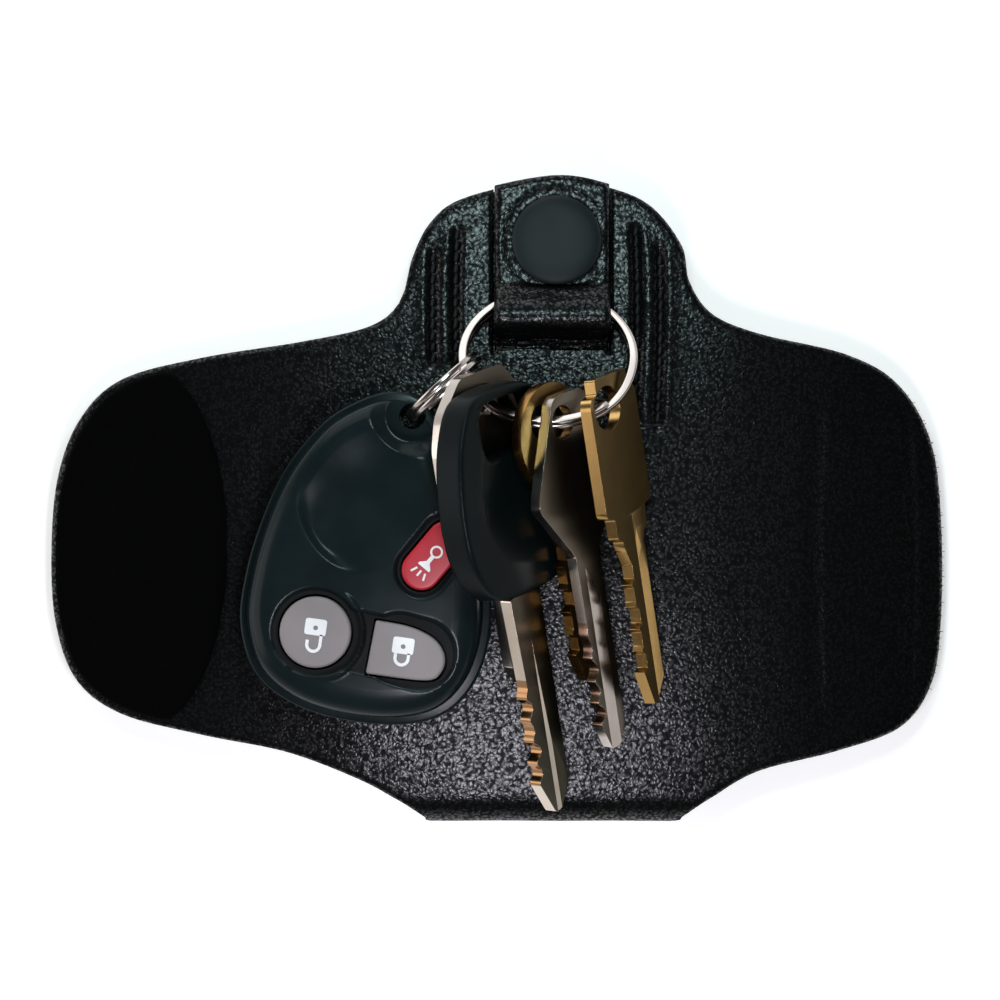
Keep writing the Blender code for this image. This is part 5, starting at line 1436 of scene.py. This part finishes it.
def padlock(lift, turn):
    # a rounded body and a hoop; an open lock has its hoop raised and swung aside
    body = roundedOff([(-1.9, -2.4), (1.9, -2.4), (1.9, 0.5), (-1.9, 0.5)], 0.5)
    hoop = np.vstack([[(-1.15, 0.3)], arcPoints((0, 1.3 + lift), 1.15, 180, 0, 20), [(1.15, 0.55 + turn)]])
    hole = circlePoints((0, -0.8), 0.42, 16)
    return [(body, [hole]), (stroke(hoop, 0.55), [])]


def hornMark():
    # a flared horn with a grip loop and three sound lines
    horn = [(-0.9, -0.35), (0.6, -0.35), (1.5, -1.25), (1.9, -1.25), (1.9, 1.25), (1.5, 1.25), (0.6, 0.35),
            (-0.9, 0.35)]
    loop = arcPoints((-1.7, 0), 0.95, 20, 340, 28)
    lines = [stroke([(2.5, k * 0.9), (3.1, k * 1.15), (3.7, k * 1.4)], 0.36) for k in (-1, 0, 1)]
    return [(roundedOff(horn, 0.12), []), (stroke(loop, 0.36), [])] + [(line, []) for line in lines]


def buildButtons():
    names = ("unlock", "lock", "alarm")
    outlines = (unlockOutline, lockOutline, alarmOutline)
    looks = (("greyButton", "grey_rubber"), ("greyButton", "grey_rubber"), ("redButton", "red_rubber"))
    for name, outlineAt, (finish, slot) in zip(names, outlines, looks):
        domedButton(name + "Button", outlineAt, finish, name + "_press", slot, name + "_button")
    marks = ((padlock(0.9, 0.9), (0, 0), 172), (padlock(0, 0), (-0.4 * mm, 0), 172),
             (hornMark(), (-0.6 * mm, -0.7 * mm), 230))
    for name, (shapes, shift, heading), (_, slot) in zip(names, marks, looks):
        raisedMark(name + "Mark", shapes, np.add(buttons[name], shift), heading, name + "_press", slot)
    print("buttons made")


buildRemoteShells()
buildButtons()

# Camera, floor and lights
view = dict(centre=(0.545 * mm, 0.18 * mm), plane=9.8 * mm, across=181.8 * mm, lens=85.0, sensor=36.0)


def buildStage():
    camera = bpy.data.cameras.new("camera")
    camera.lens, camera.sensor_width = view["lens"], view["sensor"]
    camera.clip_start, camera.clip_end = 0.01, 10
    seat = addObject("camera", camera)
    seat.location = (*view["centre"], view["plane"] + view["across"] * view["lens"] / view["sensor"])
    bpy.context.scene.camera = seat
    bpy.context.scene.view_settings.view_transform = "Standard"

    # the floor is white to the camera and in reflections, and lights the object as a pale grey
    made, tree, shader = startMaterial("paleFloor", {"Base Color": (0.80, 0.80, 0.80), "Roughness": 1.0,
                                                     "Specular IOR Level": 0.0, "Emission Color": (1, 1, 1)})
    path = addNode(tree, "ShaderNodeLightPath").outputs
    seen = addMath(tree, "MAXIMUM", path["Is Camera Ray"], path["Is Glossy Ray"])
    seen = addMath(tree, "MAXIMUM", seen, path["Is Transmission Ray"])
    setSockets(tree, shader, {"Emission Strength": addMath(tree, "MULTIPLY", seen, 0.55)})
    corners = np.array([[(-3, 3, 0), (3, 3, 0)], [(-3, -3, 0), (3, -3, 0)]], float)
    makePiece("floor", [corners - (0, 0, 0.2 * mm)], made)

    world = bpy.data.worlds.new("studio")
    bpy.context.scene.world = world
    world.use_nodes = True
    tree = world.node_tree
    tree.nodes.clear()
    upward = addNode(tree, "ShaderNodeSeparateXYZ",
                     {"Vector": addNode(tree, "ShaderNodeTexCoord").outputs["Generated"]}).outputs["Z"]
    sky = addRamp(tree, upward, [(0.0, 0.80), (0.22, 0.70), (0.40, 0.10), (1.0, 0.03)])
    shine = addNode(tree, "ShaderNodeBackground", {"Color": sky, "Strength": 1.0})
    addNode(tree, "ShaderNodeOutputWorld", {"Surface": shine.outputs[0]})

    for name, place, aim, size, power, colour in (
            ("keyLamp", (0.0035, -0.067, 0.18), (0.003, -0.045, 0), 0.05, 0.155, (0.95, 0.93, 1.04)),
            ("tabLamp", (0.010, 0.068, 0.18), (0.01, 0.045, 0), 0.05, 0.100, (0.74, 1.0, 1.0)),
            ("topLamp", (-0.20, 0.68, 0.31), (0, 0, 0), 0.85, 2.6, (0.92, 0.98, 1.0)),
            ("sideLamp", (-0.72, -0.05, 0.33), (0, 0, 0), 0.62, 1.6, (1.0, 0.97, 0.95))):
        lamp = bpy.data.lights.new(name, "AREA")
        lamp.shape, lamp.size, lamp.energy, lamp.color = "DISK", size, power, colour
        stand = addObject(name, lamp)
        stand.location = place
        stand.rotation_euler = (Vector(aim) - Vector(place)).to_track_quat("-Z", "Y").to_euler()
    print("stage, camera and lamps made")


buildStage()
